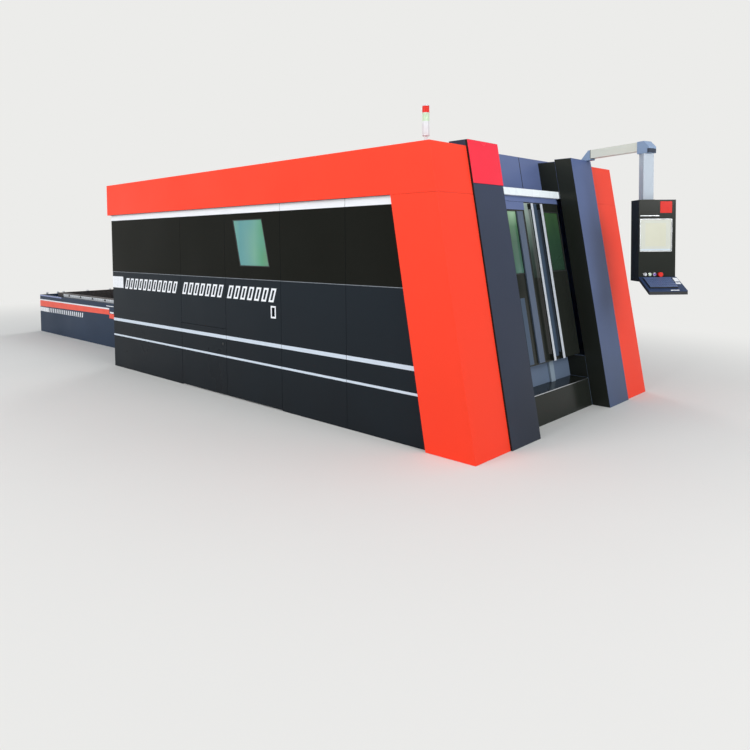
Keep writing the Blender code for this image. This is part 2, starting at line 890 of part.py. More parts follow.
def make_leaf(side):
    """One sliding leaf: frame, window, full-height pull bar and the hangers that run in the bar."""
    name = f"{side_name(side)}_front_leaf"
    meet = LEAF_MEET_Y + side * SEAM / 2
    y0, y1 = sorted((meet, meet + side * (LEAF_W - SEAM)))
    leaf = leaning_block(name, y0, y1, LEAF_FOOT, LEAF_TOP, LEAF_SETBACK, LEAF_T, BLACK)

    g0, g1 = sorted((meet + side * LEAF_GLASS_LIP, meet + side * (LEAF_GLASS_LIP + LEAF_GLASS_W)))
    z1 = LEAF_TOP - LEAF_GLASS_DROP
    z0 = z1 - LEAF_GLASS_H
    window = leaning_block(
        f"{name}_window",
        g0,
        g1,
        z0,
        z1,
        LEAF_SETBACK - CUT_OVERRUN,
        LEAF_T + CUT_OVERRUN * 2,
        helper=True,
    )
    cut(leaf, window)
    glass = leaning_block(
        f"{name}_glass",
        g0 + GAP,
        g1 - GAP,
        z0 + GAP,
        z1 - GAP,
        LEAF_SETBACK + GLASS_T,
        GLASS_T,
        GREEN_GLASS,
    )

    b0, b1 = sorted((meet + side * PULL_BAR_LIP, meet + side * (PULL_BAR_LIP + PULL_BAR_W)))
    low, high = LEAF_FOOT + PULL_BAR_END, LEAF_TOP - PULL_BAR_END
    bar_setback = LEAF_SETBACK - PULL_BAR_STANDOFF - PULL_BAR_T
    bar = leaning_block(f"{name}_bar", b0, b1, low, high, bar_setback, PULL_BAR_T, helper=True)
    fuse(leaf, bar)
    for place, z in (("foot", low), ("head", high - PULL_BAR_FOOT_H)):
        foot = leaning_block(
            f"{name}_bar_{place}",
            b0,
            b1,
            z,
            z + PULL_BAR_FOOT_H,
            bar_setback + PULL_BAR_T / 2,
            PULL_BAR_STANDOFF + PULL_BAR_T,
            helper=True,
        )
        fuse(leaf, foot)
    if side < 0:
        s0, s1 = meet - STILE_LIP - STILE_W, meet - STILE_LIP
        stile = leaning_block(
            f"{name}_stile",
            s0,
            s1,
            LEAF_FOOT + PULL_BAR_END,
            z1,
            LEAF_SETBACK - STILE_T,
            STILE_T + GLASS_T - GAP,
            helper=True,
        )
        fuse(leaf, stile)
    for place in (y0 + HANGER_INSET, y1 - HANGER_INSET - HANGER_W):
        hanger = leaning_block(
            f"{name}_hanger_{round(place * 1000)}",
            place,
            place + HANGER_W,
            LEAF_TOP - HANGER_T,
            LIGHT_BAR_Z - GAP,
            LEAF_SETBACK + GAP,
            HANGER_T,
            helper=True,
        )
        fuse(leaf, hanger)
    hang([leaf, glass], empty(f"{name}_slide", (front_x(LEAF_TOP, LEAF_SETBACK), meet, LEAF_TOP)))


def channel_ledges(x0, x1):
    """Both levels of ledges on both sides of a pallet channel."""
    boxes = []
    for side in (-1, 1):
        y0, y1 = span(side, CHANNEL_HALF - LEDGE_W, CHANNEL_HALF + TABLE_WALL / 2)
        for z in (UPPER_LEDGE_Z, LOWER_LEDGE_Z):
            boxes.append(((x0, y0, z - LEDGE_T), (x1, y1, z)))
    return boxes


def spread(x0, x1, count):
    """Evenly spaced places, the first and last at the ends."""
    step = (x1 - x0) / (count - 1)
    return [x0 + step * number for number in range(count)]


def make_bed():
    """Welded bed: side beams on feet, cross members out to the posts, pallet ledges and X rails."""
    boxes = []
    outer = CHANNEL_HALF + BED_BEAM_W
    for side in (-1, 1):
        y0, y1 = span(side, CHANNEL_HALF, outer)
        boxes.append(((BED_X0, y0, BED_FOOT_H), (BED_X1, y1, BED_H)))
        mid = CHANNEL_HALF + BED_BEAM_W / 2
        y0, y1 = span(side, mid - RAIL_W / 2, mid + RAIL_W / 2)
        boxes.append(((BED_X0, y0, BED_H - RAIL_H), (BED_X1, y1, RAIL_TOP)))
    reach = CHANNEL_HALF + BED_BEAM_W / 2
    half = BED_CROSS_W / 2
    cross = [(x, reach) for x in (BED_X0 + BED_CROSS_W, 0, BED_X1 - BED_CROSS_W)]
    cross += [(seam_x(d), POST_IN_Y - GAP) for d in POST_SEAMS]
    for x, end in cross:
        low = (x - half, -end, BED_FOOT_H)
        boxes.append((low, (x + half, end, BED_FOOT_H + BED_CROSS_H)))
    boxes += channel_ledges(BED_X0, BED_X1)
    bed = welded("machine_bed", boxes, GREY)
    feet = [(0.0, 0.0)]
    for side in (-1, 1):
        for x in spread(BED_X0 + BED_CROSS_W, BED_X1 - BED_CROSS_W, BED_FOOT_STATIONS):
            feet.append((x, side * reach))
    for number, (x, y) in enumerate(feet):
        place = Matrix.Translation((x, y, 0))
        fuse(bed, rod(f"bed_foot_{number}", BED_FOOT_R, BED_FOOT_H * 1.5, place, helper=True))


def slat_outline():
    """One slat across the pallet: straight foot, pointed teeth along the top."""
    half = PALLET_HALF - PALLET_BEAM + SLAT_SEAT
    pitch = half * 2 / TEETH
    points = [(-half, PALLET_TOP - SLAT_H), (half, PALLET_TOP - SLAT_H)]
    for number in range(TEETH):
        right = half - pitch * number
        points.append((right, PALLET_TOP - TOOTH_H))
        points.append((right - pitch / 2, PALLET_TOP))
    points.append((-half, PALLET_TOP - TOOTH_H))
    return points


def make_pallets():
    """Two alike pallets: beams, toothed slats and wheels, one on each level of ledges."""
    foot = PALLET_TOP - PALLET_H
    half = PALLET_HALF
    end = PALLET_LENGTH / 2
    boxes = []
    for side in (-1, 1):
        y0, y1 = span(side, half - PALLET_BEAM, half)
        boxes.append(((-end, y0, foot), (end, y1, PALLET_TOP)))
        x0, x1 = span(side, end - PALLET_BEAM, end)
        boxes.append(((x0, -half, foot), (x1, half, PALLET_TOP)))
    pallet = welded("outer_pallet", boxes, DARK_STEEL)
    outline = slat_outline()
    inside = end - PALLET_BEAM
    pitch = inside * 2 / (SLATS + 1)
    for number in range(SLATS):
        x = -inside + pitch * (number + 1)
        name = f"slat_{number}"
        fuse(pallet, prism(name, outline, "X", x - SLAT_T / 2, x + SLAT_T / 2, helper=True))
    wheel_z = foot - WHEEL_DROP + WHEEL_R
    for side in (-1, 1):
        turn = Matrix.Rotation(-side * math.pi / 2, 4, "X")
        for x in spread(-end + WHEEL_R * 2, end - WHEEL_R * 2, WHEELS):
            place = Matrix.Translation((x, side * (half - PALLET_BEAM / 2), wheel_z)) @ turn
            name = f"wheel_{side_name(side)}_{round(x * 1000)}"
            length = WHEEL_W + PALLET_BEAM / 2
            fuse(pallet, rod(name, WHEEL_R, length, place, helper=True))
    baked(pallet)
    pallet.location = (REAR_X - PALLET_TABLE_GAP - end, 0, 0)
    inner = add_object("inner_pallet", pallet.data)
    inner.location = (BED_X1 - PALLET_BED_GAP - end, 0, -LEVEL_DROP)


def make_table():
    """Exchange table: skirts to the floor, end wall with stop pins, cross members and ledges."""
    x0, x1 = TABLE_X0, REAR_X - GAP
    clear = REAR_X - SHUTTER_T - GAP * 3 - PANEL_SHEET
    outer = CHANNEL_HALF + TABLE_WALL
    boxes = [((x0, -outer, 0), (x0 + TABLE_WALL, outer, TABLE_H))]
    for side in (-1, 1):
        y0, y1 = span(side, CHANNEL_HALF, outer)
        boxes.append(((x0, y0, 0), (clear, y1, TABLE_H)))
    for x in spread(x0 + TABLE_CROSS_W, x1 - TABLE_CROSS_W, TABLE_CROSS):
        low = (x - TABLE_CROSS_W / 2, -outer + TABLE_WALL / 2, TABLE_CROSS_FOOT)
        high = (x + TABLE_CROSS_W / 2, outer - TABLE_WALL / 2, TABLE_CROSS_FOOT + TABLE_CROSS_H)
        boxes.append((low, high))
    boxes += channel_ledges(x0 + TABLE_WALL / 2, clear)
    table = welded("exchange_table", boxes, SLATE)
    for number, share in enumerate(PIN_PLACE_SHARES):
        place = Matrix.Translation((x0 + TABLE_WALL / 2, share * outer, TABLE_H - PIN_H))
        fuse(table, rod(f"stop_pin_{number}", PIN_R, PIN_H * 2, place, helper=True))


def make_gantry():
    """Gantry beam with its feet on the X rails, the drives, the carriage, the Z slide and the head."""
    mid = CHANNEL_HALF + BED_BEAM_W / 2
    boxes = [
        (
            (-GANTRY_BEAM_X / 2, -mid - GANTRY_FOOT_Y / 2, GANTRY_Z - GANTRY_RAIL_T),
            (GANTRY_BEAM_X / 2, mid + GANTRY_FOOT_Y / 2, GANTRY_TOP),
        )
    ]
    for side in (-1, 1):
        y0, y1 = span(side, mid - GANTRY_FOOT_Y / 2, mid + GANTRY_FOOT_Y / 2)
        low = (-GANTRY_FOOT_X / 2, y0, RAIL_TOP + GAP)
        boxes.append((low, (GANTRY_FOOT_X / 2, y1, GANTRY_Z)))
    reach = mid
    face = GANTRY_BEAM_X / 2
    rails = (GANTRY_Z + GANTRY_RAIL_LIP, GANTRY_TOP - GANTRY_RAIL_LIP - GANTRY_RAIL_W)
    for z in rails:
        low = (face - GANTRY_RAIL_T, -reach, z)
        boxes.append((low, (face + GANTRY_RAIL_T, reach, z + GANTRY_RAIL_W)))
    beam = welded("gantry_beam", boxes, GREY)
    pieces = [beam]
    for side in (-1, 1):
        y_in = mid + GANTRY_FOOT_Y / 2 + GAP
        y0, y1 = span(side, y_in, y_in + DRIVE_W)
        name = f"{side_name(side)}_gantry_drive"
        low = (-DRIVE_X / 2, y0, GANTRY_Z)
        drive = box(name, low, (DRIVE_X / 2, y1, GANTRY_Z + DRIVE_H), BLACK)
        place = Matrix.Translation((0, (y0 + y1) / 2, GANTRY_Z + DRIVE_H / 2))
        fuse(drive, rod(f"{name}_motor", MOTOR_R, MOTOR_H + DRIVE_H / 2, place, helper=True))
        pieces.append(drive)
    gantry = empty("gantry_slide", (0, 0, RAIL_TOP))
    hang(pieces, gantry)

    plate_x = face + GANTRY_RAIL_T + GAP
    centre_z = (GANTRY_Z + GANTRY_TOP) / 2
    carriage = box(
        "head_carriage",
        (plate_x, -CARRIAGE_W / 2, centre_z - CARRIAGE_H / 2),
        (plate_x + CARRIAGE_T, CARRIAGE_W / 2, centre_z + CARRIAGE_H / 2),
        ALUMINIUM,
    )
    for number, z in enumerate(rails):
        for edge, sign in ((z - GAP, -1), (z + GANTRY_RAIL_W + GAP, 1)):
            z0, z1 = sorted((edge, edge + sign * CARRIAGE_BLOCK_T))
            jaw = box(
                f"carriage_jaw_{number}_{sign}",
                (face + GAP, -CARRIAGE_W / 2, z0),
                (plate_x + CARRIAGE_T / 2, CARRIAGE_W / 2, z1),
                helper=True,
            )
            fuse(carriage, jaw)
    cross = empty("carriage_slide", (plate_x, 0, centre_z))
    hang([carriage], cross)

    slide_x = plate_x + CARRIAGE_T + GAP
    foot = centre_z - CARRIAGE_H / 2 - SLIDE_DROP
    slide = box(
        "z_slide",
        (slide_x, -SLIDE_W / 2, foot),
        (slide_x + SLIDE_T, SLIDE_W / 2, foot + SLIDE_H),
        ALUMINIUM,
    )
    head_x = slide_x + SLIDE_T + HEAD_STANDOFF + HEAD_R
    clamp = box(
        "head_clamp",
        (slide_x + SLIDE_T / 2, -SLIDE_W / 4, foot),
        (head_x - HEAD_R - GAP, SLIDE_W / 4, foot + HEAD_TOP_H),
        helper=True,
    )
    fuse(slide, clamp)
    tip = PALLET_TOP + NOZZLE_LIFT
    cone = tip + NOZZLE_H + GAP
    body = cone + HEAD_CONE_H
    profile = [
        (0.0, body + HEAD_BODY_H),
        (HEAD_NECK_R, body + HEAD_BODY_H),
        (HEAD_NECK_R, body + HEAD_TOP_H),
        (HEAD_R, body + HEAD_TOP_H),
        (HEAD_R, body),
        (HEAD_NECK_R, cone + HEAD_CONE_H / 2),
        (NOZZLE_R, cone),
        (0.0, cone),
    ]
    head = turned("cutting_head", profile, BLACK)
    head.location = (head_x, 0, 0)
    nozzle_profile = [
        (NOZZLE_BORE_R, tip + NOZZLE_H),
        (NOZZLE_R, tip + NOZZLE_H),
        (NOZZLE_R, tip + NOZZLE_H / 2),
        (NOZZLE_TIP_R, tip),
        (NOZZLE_BORE_R, tip),
        (NOZZLE_BORE_R, tip + NOZZLE_H),
    ]
    nozzle = turned("head_nozzle", nozzle_profile, COPPER)
    nozzle.location = (head_x, 0, 0)
    lift = empty("head_lift", (head_x, 0, foot))
    hang([slide, head, nozzle], lift)
    hang([lift], cross)
    hang([cross], gantry)
    gantry.location.x = GANTRY_HOME_X


def make_arm():
    """Swivel casting on the far pillar, beam, elbow, drop tube and the pendant that hangs from it."""
    place = (TIP_X - ARM_PIVOT_X, PILLAR_OUT_Y - ARM_PIVOT_INSET, PILLAR_TOP + GAP)
    pivot = empty("arm_swivel", place, math.radians(ARM_REST_DEG))
    half = ARM_FOOT_W / 2
    wedge = [
        (-ARM_FOOT_BACK, 0),
        (ARM_FOOT_FRONT, 0),
        (ARM_FOOT_FRONT, BEAM_RISE + BEAM_H),
        (ARM_FOOT_FLAT, BEAM_RISE + BEAM_H),
        (-ARM_FOOT_BACK, ARM_FOOT_EDGE),
    ]
    prism("arm_foot", wedge, "Y", -half, half, PALE_BLUE).parent = pivot
    end = ARM_REACH - ELBOW_L / 2
    beam = box(
        "arm_beam",
        (ARM_FOOT_FRONT + GAP, -BEAM_W / 2, BEAM_RISE),
        (end - GAP, BEAM_W / 2, BEAM_RISE + BEAM_H),
        IVORY,
    )
    beam.parent = pivot
    foot = BEAM_RISE - ELBOW_DROP
    elbow_outline = [
        (end, foot),
        (end + ELBOW_L, foot),
        (end + ELBOW_L, foot + ELBOW_H - ELBOW_CHAMFER),
        (end + ELBOW_L - ELBOW_CHAMFER, foot + ELBOW_H),
        (end, foot + ELBOW_H),
    ]
    elbow = prism("arm_elbow", elbow_outline, "Y", -ELBOW_W / 2, ELBOW_W / 2, PALE_BLUE)
    elbow.parent = pivot

    turn = math.radians(PENDANT_TURN_DEG - ARM_REST_DEG)
    hung = empty("pendant_swivel", (ARM_REACH, 0, foot - GAP), turn, pivot)
    half = TUBE_W / 2
    bm = prism_bmesh(rectangle(-half, half, -half, half), "Z", -TUBE_LENGTH, 0)
    tube = folded("drop_tube", bm, looking(bm, [(0, 0, 1), (0, 0, -1)]), TUBE_WALL, IVORY)
    tube.parent = hung
    make_pendant(hung)


def make_pendant(hung):
    """Housing, screen, sloping console tray, keyboard and the row of controls above it."""
    top = -TUBE_LENGTH - GAP
    foot = top - PENDANT_H
    x0 = PENDANT_SHIFT_X - PENDANT_W / 2
    x1 = PENDANT_SHIFT_X + PENDANT_W / 2
    back = PENDANT_D / 2 - PENDANT_SHIFT_Y
    front = back - PENDANT_D
    housing = box("pendant_housing", (x0, front, foot), (x1, back, top), BLACK)
    housing.parent = hung
    s0 = PENDANT_SHIFT_X + SCREEN_SHIFT_X - SCREEN_W / 2
    s_top = top - SCREEN_DROP
    recess = box(
        "screen_recess",
        (s0, front - CUT_OVERRUN, s_top - SCREEN_H),
        (s0 + SCREEN_W, front + SCREEN_DEPTH, s_top),
        helper=True,
    )
    cut(housing, recess)
    screen = box(
        "pendant_screen",
        (s0 + GAP, front + SCREEN_DEPTH - GAP - SCREEN_T, s_top - SCREEN_H + GAP),
        (s0 + SCREEN_W - GAP, front + SCREEN_DEPTH - GAP, s_top - GAP),
        SCREEN,
    )
    screen.parent = hung
    make_controls(hung, housing, front, foot)
    make_console(hung, front, foot, x0, x1)


def make_controls(hung, housing, front, foot):
    """Selector, two push buttons and the emergency stop, each with its stem in a bore."""
    turn = Matrix.Rotation(math.pi / 2, 4, "X")
    z = foot + BUTTON_RISE
    kinds = (
        ("selector_switch", ALUMINIUM, BUTTON_R),
        ("start_button", GREEN, BUTTON_R),
        ("reset_button", VIOLET, BUTTON_R),
        ("emergency_stop", STOP_RED, ESTOP_STEM_R),
    )
    for number, (name, material, radius) in enumerate(kinds):
        x = BUTTON_FIRST_X + PENDANT_SHIFT_X + BUTTON_PITCH * number
        bore = rod(
            f"{name}_bore",
            radius + GAP,
            BUTTON_BORE_DEPTH + CUT_OVERRUN,
            Matrix.Translation((x, front + BUTTON_BORE_DEPTH, z)) @ turn,
            helper=True,
        )
        cut(housing, bore)
        place = Matrix.Translation((x, front + BUTTON_BORE_DEPTH / 2, z)) @ turn
        button = rod(name, radius, BUTTON_BORE_DEPTH / 2 + BUTTON_H, place, material)
        button.parent = hung
        if name == "emergency_stop":
            head_y = front - BUTTON_H
            place = Matrix.Translation((x, head_y, z)) @ turn
            head = rod(f"{name}_head", ESTOP_R, ESTOP_H, place, helper=True)
            fuse(button, head)
        if name == "selector_switch":
            grip = box(
                f"{name}_grip",
                (x - SELECTOR_GRIP / 2, front - BUTTON_H * 2, z - radius * 1.3),
                (x + SELECTOR_GRIP / 2, front - BUTTON_H / 2, z + radius * 1.3),
                helper=True,
            )
            fuse(button, grip)


def make_console(hung, front, foot, x0, x1):
    """The sloping tray under the controls, with the keyboard and a pointing pad on it."""
    turn = math.radians(TRAY_SLOPE_DEG)

    def on_slope(down, up):
        y = front - GAP - down * math.cos(turn) - up * math.sin(turn)
        return y, foot + TRAY_RISE - down * math.sin(turn) + up * math.cos(turn)

    back_y, back_z = on_slope(0, 0)
    lip_y, lip_z = on_slope(TRAY_D, 0)
    outline = [
        (back_y, back_z),
        (back_y, back_z - TRAY_T),
        (lip_y, lip_z - TRAY_T),
        (lip_y, lip_z),
    ]
    ends = (x0 + TRAY_SHIFT_X - TRAY_LIP, x1 + TRAY_SHIFT_X + TRAY_LIP)
    console = prism("console_tray", outline, "X", *ends, BLUE_GREY)
    console.parent = hung
    middle = PENDANT_SHIFT_X + PAD_X
    pad_outline = [
        on_slope(KEYBOARD_BACK, -TRAY_T / 2),
        on_slope(KEYBOARD_BACK, KEYBOARD_T),
        on_slope(KEYBOARD_BACK + PAD_D, KEYBOARD_T),
        on_slope(KEYBOARD_BACK + PAD_D, -TRAY_T / 2),
    ]
    ends = (middle - PAD_W / 2, middle + PAD_W / 2)
    fuse(console, prism("pointing_pad", pad_outline, "X", *ends, helper=True))

    row = KEYBOARD_D / KEY_ROWS
    points = [on_slope(KEYBOARD_BACK, GAP), on_slope(KEYBOARD_BACK, KEYBOARD_T)]
    for number in range(KEY_ROWS):
        near = KEYBOARD_BACK + row * (number + (1 - KEY_ROW_SHARE) / 2)
        far = near + row * KEY_ROW_SHARE
        points += [
            on_slope(near, KEYBOARD_T),
            on_slope(near, KEYBOARD_T + KEY_ROW_H),
            on_slope(far, KEYBOARD_T + KEY_ROW_H),
            on_slope(far, KEYBOARD_T),
        ]
    points += [
        on_slope(KEYBOARD_BACK + KEYBOARD_D, KEYBOARD_T),
        on_slope(KEYBOARD_BACK + KEYBOARD_D, GAP),
    ]
    middle = PENDANT_SHIFT_X + KEYBOARD_X
    ends = (middle - KEYBOARD_W / 2, middle + KEYBOARD_W / 2)
    prism("keyboard", points, "X", *ends, BLACK).parent = hung


def make_tower():
    """Signal tower on the near front corner: base, pole and body, then two lenses."""
    x = front_x(HEIGHT) - TOWER_X_BACK
    y = -SIDE_Y + TOWER_Y_INSET
    z0 = HEIGHT + GAP
    z1 = z0 + TOWER_BASE_H
    z2 = z1 + TOWER_POLE_H
    z3 = z2 + TOWER_BODY_H
    profile = [
        (0.0, z3),
        (TOWER_R, z3),
        (TOWER_R, z2),
        (TOWER_POLE_R, z2),
        (TOWER_POLE_R, z1),
        (TOWER_BASE_R, z0 + TOWER_BASE_H / 2),
        (TOWER_BASE_R, z0),
        (0.0, z0),
    ]
    body = turned("signal_tower_body", profile, LIGHT_GREY)
    body.location = (x, y, 0)
    for name, level, material in (
        ("signal_lens_green", 0, GREEN),
        ("signal_lens_red", 1, STOP_RED),
    ):
        low = z3 + GAP + level * (LENS_H + GAP)
        lens_profile = [
            (0.0, low + LENS_H),
            (LENS_STEP_R, low + LENS_H),
            (TOWER_R, low + LENS_H - (TOWER_R - LENS_STEP_R)),
            (TOWER_R, low),
            (0.0, low),
        ]
        lens = turned(name, lens_profile, material)
        lens.location = (x, y, 0)


clear_scene()
MACHINE = new_collection("fiber_laser_cutting_machine")
CUTTERS = new_collection("cutters")

RED = paint("signal_red", (0.90, 0.075, 0.035), 0.32)
CAP_RED = paint("cap_red", (0.86, 0.05, 0.09), 0.28)
SLATE = paint("dark_slate", (0.022, 0.027, 0.034), 0.35)
SLATE_LIGHT = paint("slate_blue", (0.065, 0.085, 0.12), 0.35)
BLACK = paint("gloss_black", (0.012, 0.013, 0.010), 0.18)
WHITE = paint("light_white", (0.86, 0.88, 0.90), 0.35)
GREEN_GLASS = paint("laser_glass", (0.16, 0.48, 0.30), 0.08, alpha=0.6)
GREY = paint("machine_grey", (0.30, 0.32, 0.34), 0.5)
DARK_STEEL = paint("dark_steel", (0.10, 0.10, 0.11), 0.5, metal=0.8)
ALUMINIUM = paint("aluminium", (0.62, 0.64, 0.66), 0.35, metal=1.0)
COPPER = paint("copper", (0.72, 0.38, 0.20), 0.3, metal=1.0)
IVORY = paint("ivory", (0.86, 0.86, 0.78), 0.4)
PALE_BLUE = paint("pale_blue_grey", (0.32, 0.38, 0.47), 0.4)
BLUE_GREY = paint("tray_blue_grey", (0.045, 0.065, 0.14), 0.3)
LIGHT_GREY = paint("light_grey", (0.70, 0.72, 0.74), 0.4)
SCREEN = paint("screen", (0.76, 0.80, 0.70), 0.25)
GREEN = paint("green_lens", (0.45, 0.80, 0.60), 0.25)
VIOLET = paint("violet_button", (0.25, 0.12, 0.45), 0.3)
STOP_RED = paint("stop_red", (0.80, 0.03, 0.02), 0.3)

for machine_side in (-1, 1):
    make_side(machine_side)
    make_leaf(machine_side)
make_frame()
make_roof()
make_rear()
make_front()
make_bed()
make_pallets()
make_table()
make_gantry()
make_arm()
make_tower()
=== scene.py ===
import json
import math

import bmesh
import bpy
from mathutils import Matrix, Vector


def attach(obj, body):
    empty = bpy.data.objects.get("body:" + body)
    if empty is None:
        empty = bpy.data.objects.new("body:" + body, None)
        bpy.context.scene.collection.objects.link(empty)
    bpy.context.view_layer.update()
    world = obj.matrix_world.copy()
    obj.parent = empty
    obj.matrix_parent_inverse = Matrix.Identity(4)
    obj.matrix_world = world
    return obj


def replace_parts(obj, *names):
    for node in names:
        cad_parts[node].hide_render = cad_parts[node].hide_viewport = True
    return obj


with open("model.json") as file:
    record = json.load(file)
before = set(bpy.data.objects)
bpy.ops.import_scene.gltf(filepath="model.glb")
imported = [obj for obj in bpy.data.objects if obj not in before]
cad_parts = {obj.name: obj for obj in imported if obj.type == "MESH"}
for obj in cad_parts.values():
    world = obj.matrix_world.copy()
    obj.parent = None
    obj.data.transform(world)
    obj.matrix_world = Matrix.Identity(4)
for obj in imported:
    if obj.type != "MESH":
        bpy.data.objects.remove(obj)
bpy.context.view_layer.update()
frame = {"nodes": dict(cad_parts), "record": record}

# Lengths are metres, in the machine's own frame: +X to the portal front, -Y to the near long side.
FRONT = 2.75
LEAN_SHARE = 0.1734
SIDE_FACE = 1.441
CHEEK_Y = 0.625
PILLAR_OUTER_Y = 1.035
ROOF_TOP = 2.205
TABLE_FACE = 0.83
PALLET_FACE = 0.735
REAR_END = -2.7495
BAND_FOOT, BAND_TOP = 1.8145, 1.8812
BLACK_FOOT = 1.187
COLUMN_EDGE = 2.3065
DOOR_TOP = 1.81
DOOR_FILM_TOP = 1.8095
WALL_SETBACK = 0.337
LEAF_SETBACK = 0.20
LIGHT_SETBACK = 0.157
# Films and thin trims start this far inside the sheet that they lie on.
UNDER = -0.0006
FOLD_ANGLE = math.radians(32)
DEBURRED_EDGE = 0.0008
WELD_REACH = 0.00001
# The height from which a coat has its own colour; below, painted light and shade run it to its colour at
# the foot.
SHADING_TOP = 2.3
SIDES = ((-1, "near"), (1, "far"))
# Where the film on each of the side's panels starts and ends along X; the last ends at the column.
REAR_RUN = (REAR_END, -1.1165)
HATCH_RUN = (-1.1130, -0.2700)
DOOR_RUN = (-0.2660, 0.6080)
MIDDLE_RUN = (0.6120, 1.4530)
FRONT_RUN = (1.4570, None)


def front_x(z):
    """The portal's front face at this height."""
    return FRONT - LEAN_SHARE * z


def linear(colour):
    """A hex sRGB colour as the linear one that a shader takes."""
    shares = [int(colour[i : i + 2], 16) / 255 for i in (1, 3, 5)]
    shares = [s / 12.92 if s <= 0.04045 else ((s + 0.055) / 1.055) ** 2.4 for s in shares]
    return (*shares, 1.0)


def add(tree, kind, inputs=None, **settings):
    """Adds a node with its settings; inputs are values, or other nodes' outputs to link."""
    node = tree.nodes.new(kind)
    for name, value in settings.items():
        setattr(node, name, value)
    for name, value in (inputs or {}).items():
        if isinstance(value, bpy.types.NodeSocket):
            tree.links.new(value, node.inputs[name])
        else:
            node.inputs[name].default_value = value
    return node


def shader(name, sockets):
    """A material with one Principled shader, its constant values on the shader's own sockets."""
    material = bpy.data.materials.new(name)
    material.use_nodes = True
    tree = material.node_tree
    tree.nodes.clear()
    skin = add(tree, "ShaderNodeBsdfPrincipled", sockets)
    add(tree, "ShaderNodeOutputMaterial", {"Surface": skin.outputs["BSDF"]})
    place = add(tree, "ShaderNodeTexCoord").outputs["Object"]
    return material, tree, skin, place


def join(tree, skin, tone, dull, bump=None):
    """Links a material's colour, roughness and bump to its shader."""
    tree.links.new(tone.outputs[2], skin.inputs["Base Color"])
    tree.links.new(dull.outputs[0], skin.inputs["Roughness"])
    if bump:
        tree.links.new(bump.outputs[0], skin.inputs["Normal"])


def graded(tree, place, axis, start, end, colours):
    """A colour that runs through these colours, evenly spaced, from one place on an axis to another."""
    parts = add(tree, "ShaderNodeSeparateXYZ", {"Vector": place})
    share = add(
        tree, "ShaderNodeMapRange", {"Value": parts.outputs[axis], "From Min": start, "From Max": end}
    )
    ramp = add(tree, "ShaderNodeValToRGB", {"Fac": share.outputs[0]})
    stops = ramp.color_ramp.elements
    while len(stops) < len(colours):
        stops.new(1.0)
    for number, colour in enumerate(colours):
        stops[number].position = number / (len(colours) - 1)
        stops[number].color = linear(colour)
    return ramp.outputs["Color"]


def powder_coat(
    name, colour, deeper, rough, coat=0.0, peel=0.0006, wave=0.012, specular=0.12, foot_shading_colour=None
):
    """Powder coat on folded steel sheet: the tone drifts a little across a panel, the sheet's
    waviness bends its reflections, orange peel softens highlights, and dust dulls it in patches.
    Below the shading top, painted light and shade run its colour to the foot's colour."""
    material, tree, skin, place = shader(
        name,
        {"IOR": 1.5, "Specular IOR Level": specular, "Coat Weight": coat, "Coat Roughness": 0.08},
    )
    drift = add(tree, "ShaderNodeTexNoise", {"Vector": place, "Scale": 1.4, "Detail": 4.0})
    # Painted light and shade: the colour runs by height from the foot's colour up to its own.
    height_shading = graded(tree, place, "Z", 0.0, SHADING_TOP, [foot_shading_colour or colour, colour])
    tone = add(
        tree, "ShaderNodeMix", {0: drift.outputs["Fac"], 6: height_shading, 7: linear(deeper)},
        data_type="RGBA",
    )
    # Orange peel is 1 to 2 mm across on the real coat; it is drawn 14 mm across to show at all.
    grain = add(tree, "ShaderNodeTexNoise", {"Vector": place, "Scale": 1 / 0.014, "Detail": 2.0})
    swell = add(tree, "ShaderNodeTexNoise", {"Vector": place, "Scale": 1 / 0.55, "Detail": 0.0})
    dull = add(
        tree, "ShaderNodeMapRange",
        {"Value": drift.outputs["Fac"], "From Min": 0.3, "From Max": 0.7,
         "To Min": rough - 0.04, "To Max": rough + 0.06},
    )
    sheet = add(
        tree, "ShaderNodeBump", {"Height": swell.outputs["Fac"], "Strength": 1.0, "Distance": wave}
    )
    peeled = add(
        tree, "ShaderNodeBump",
        {"Height": grain.outputs["Fac"], "Strength": 0.5, "Distance": peel, "Normal": sheet.outputs[0]},
    )
    join(tree, skin, tone, dull, peeled)
    return material


def brushed(name, colour, deeper, rough, along, metallic=1.0):
    """Brushed or milled metal: fine lines run along the part, some brighter than others."""
    material, tree, skin, place = shader(name, {"Metallic": metallic})
    # Brush lines are 0.1 mm apart; they are drawn 3 mm apart so that they show.
    stretch = [1 / 0.003] * 3
    stretch[along] = 1 / 0.25
    turned_place = add(tree, "ShaderNodeMapping", {"Vector": place, "Scale": stretch})
    lines = add(
        tree, "ShaderNodeTexNoise", {"Vector": turned_place.outputs[0], "Scale": 1.0, "Detail": 3.0}
    )
    smudge = add(tree, "ShaderNodeTexNoise", {"Vector": place, "Scale": 6.0, "Detail": 3.0})
    tone = add(
        tree, "ShaderNodeMix", {0: lines.outputs["Fac"], 6: linear(colour), 7: linear(deeper)},
        data_type="RGBA",
    )
    dull = add(
        tree, "ShaderNodeMapRange",
        {"Value": smudge.outputs["Fac"], "To Min": rough - 0.08, "To Max": rough + 0.12},
    )
    scratch = add(
        tree, "ShaderNodeBump", {"Height": lines.outputs["Fac"], "Strength": 0.25, "Distance": 0.0004}
    )
    join(tree, skin, tone, dull, scratch)
    return material


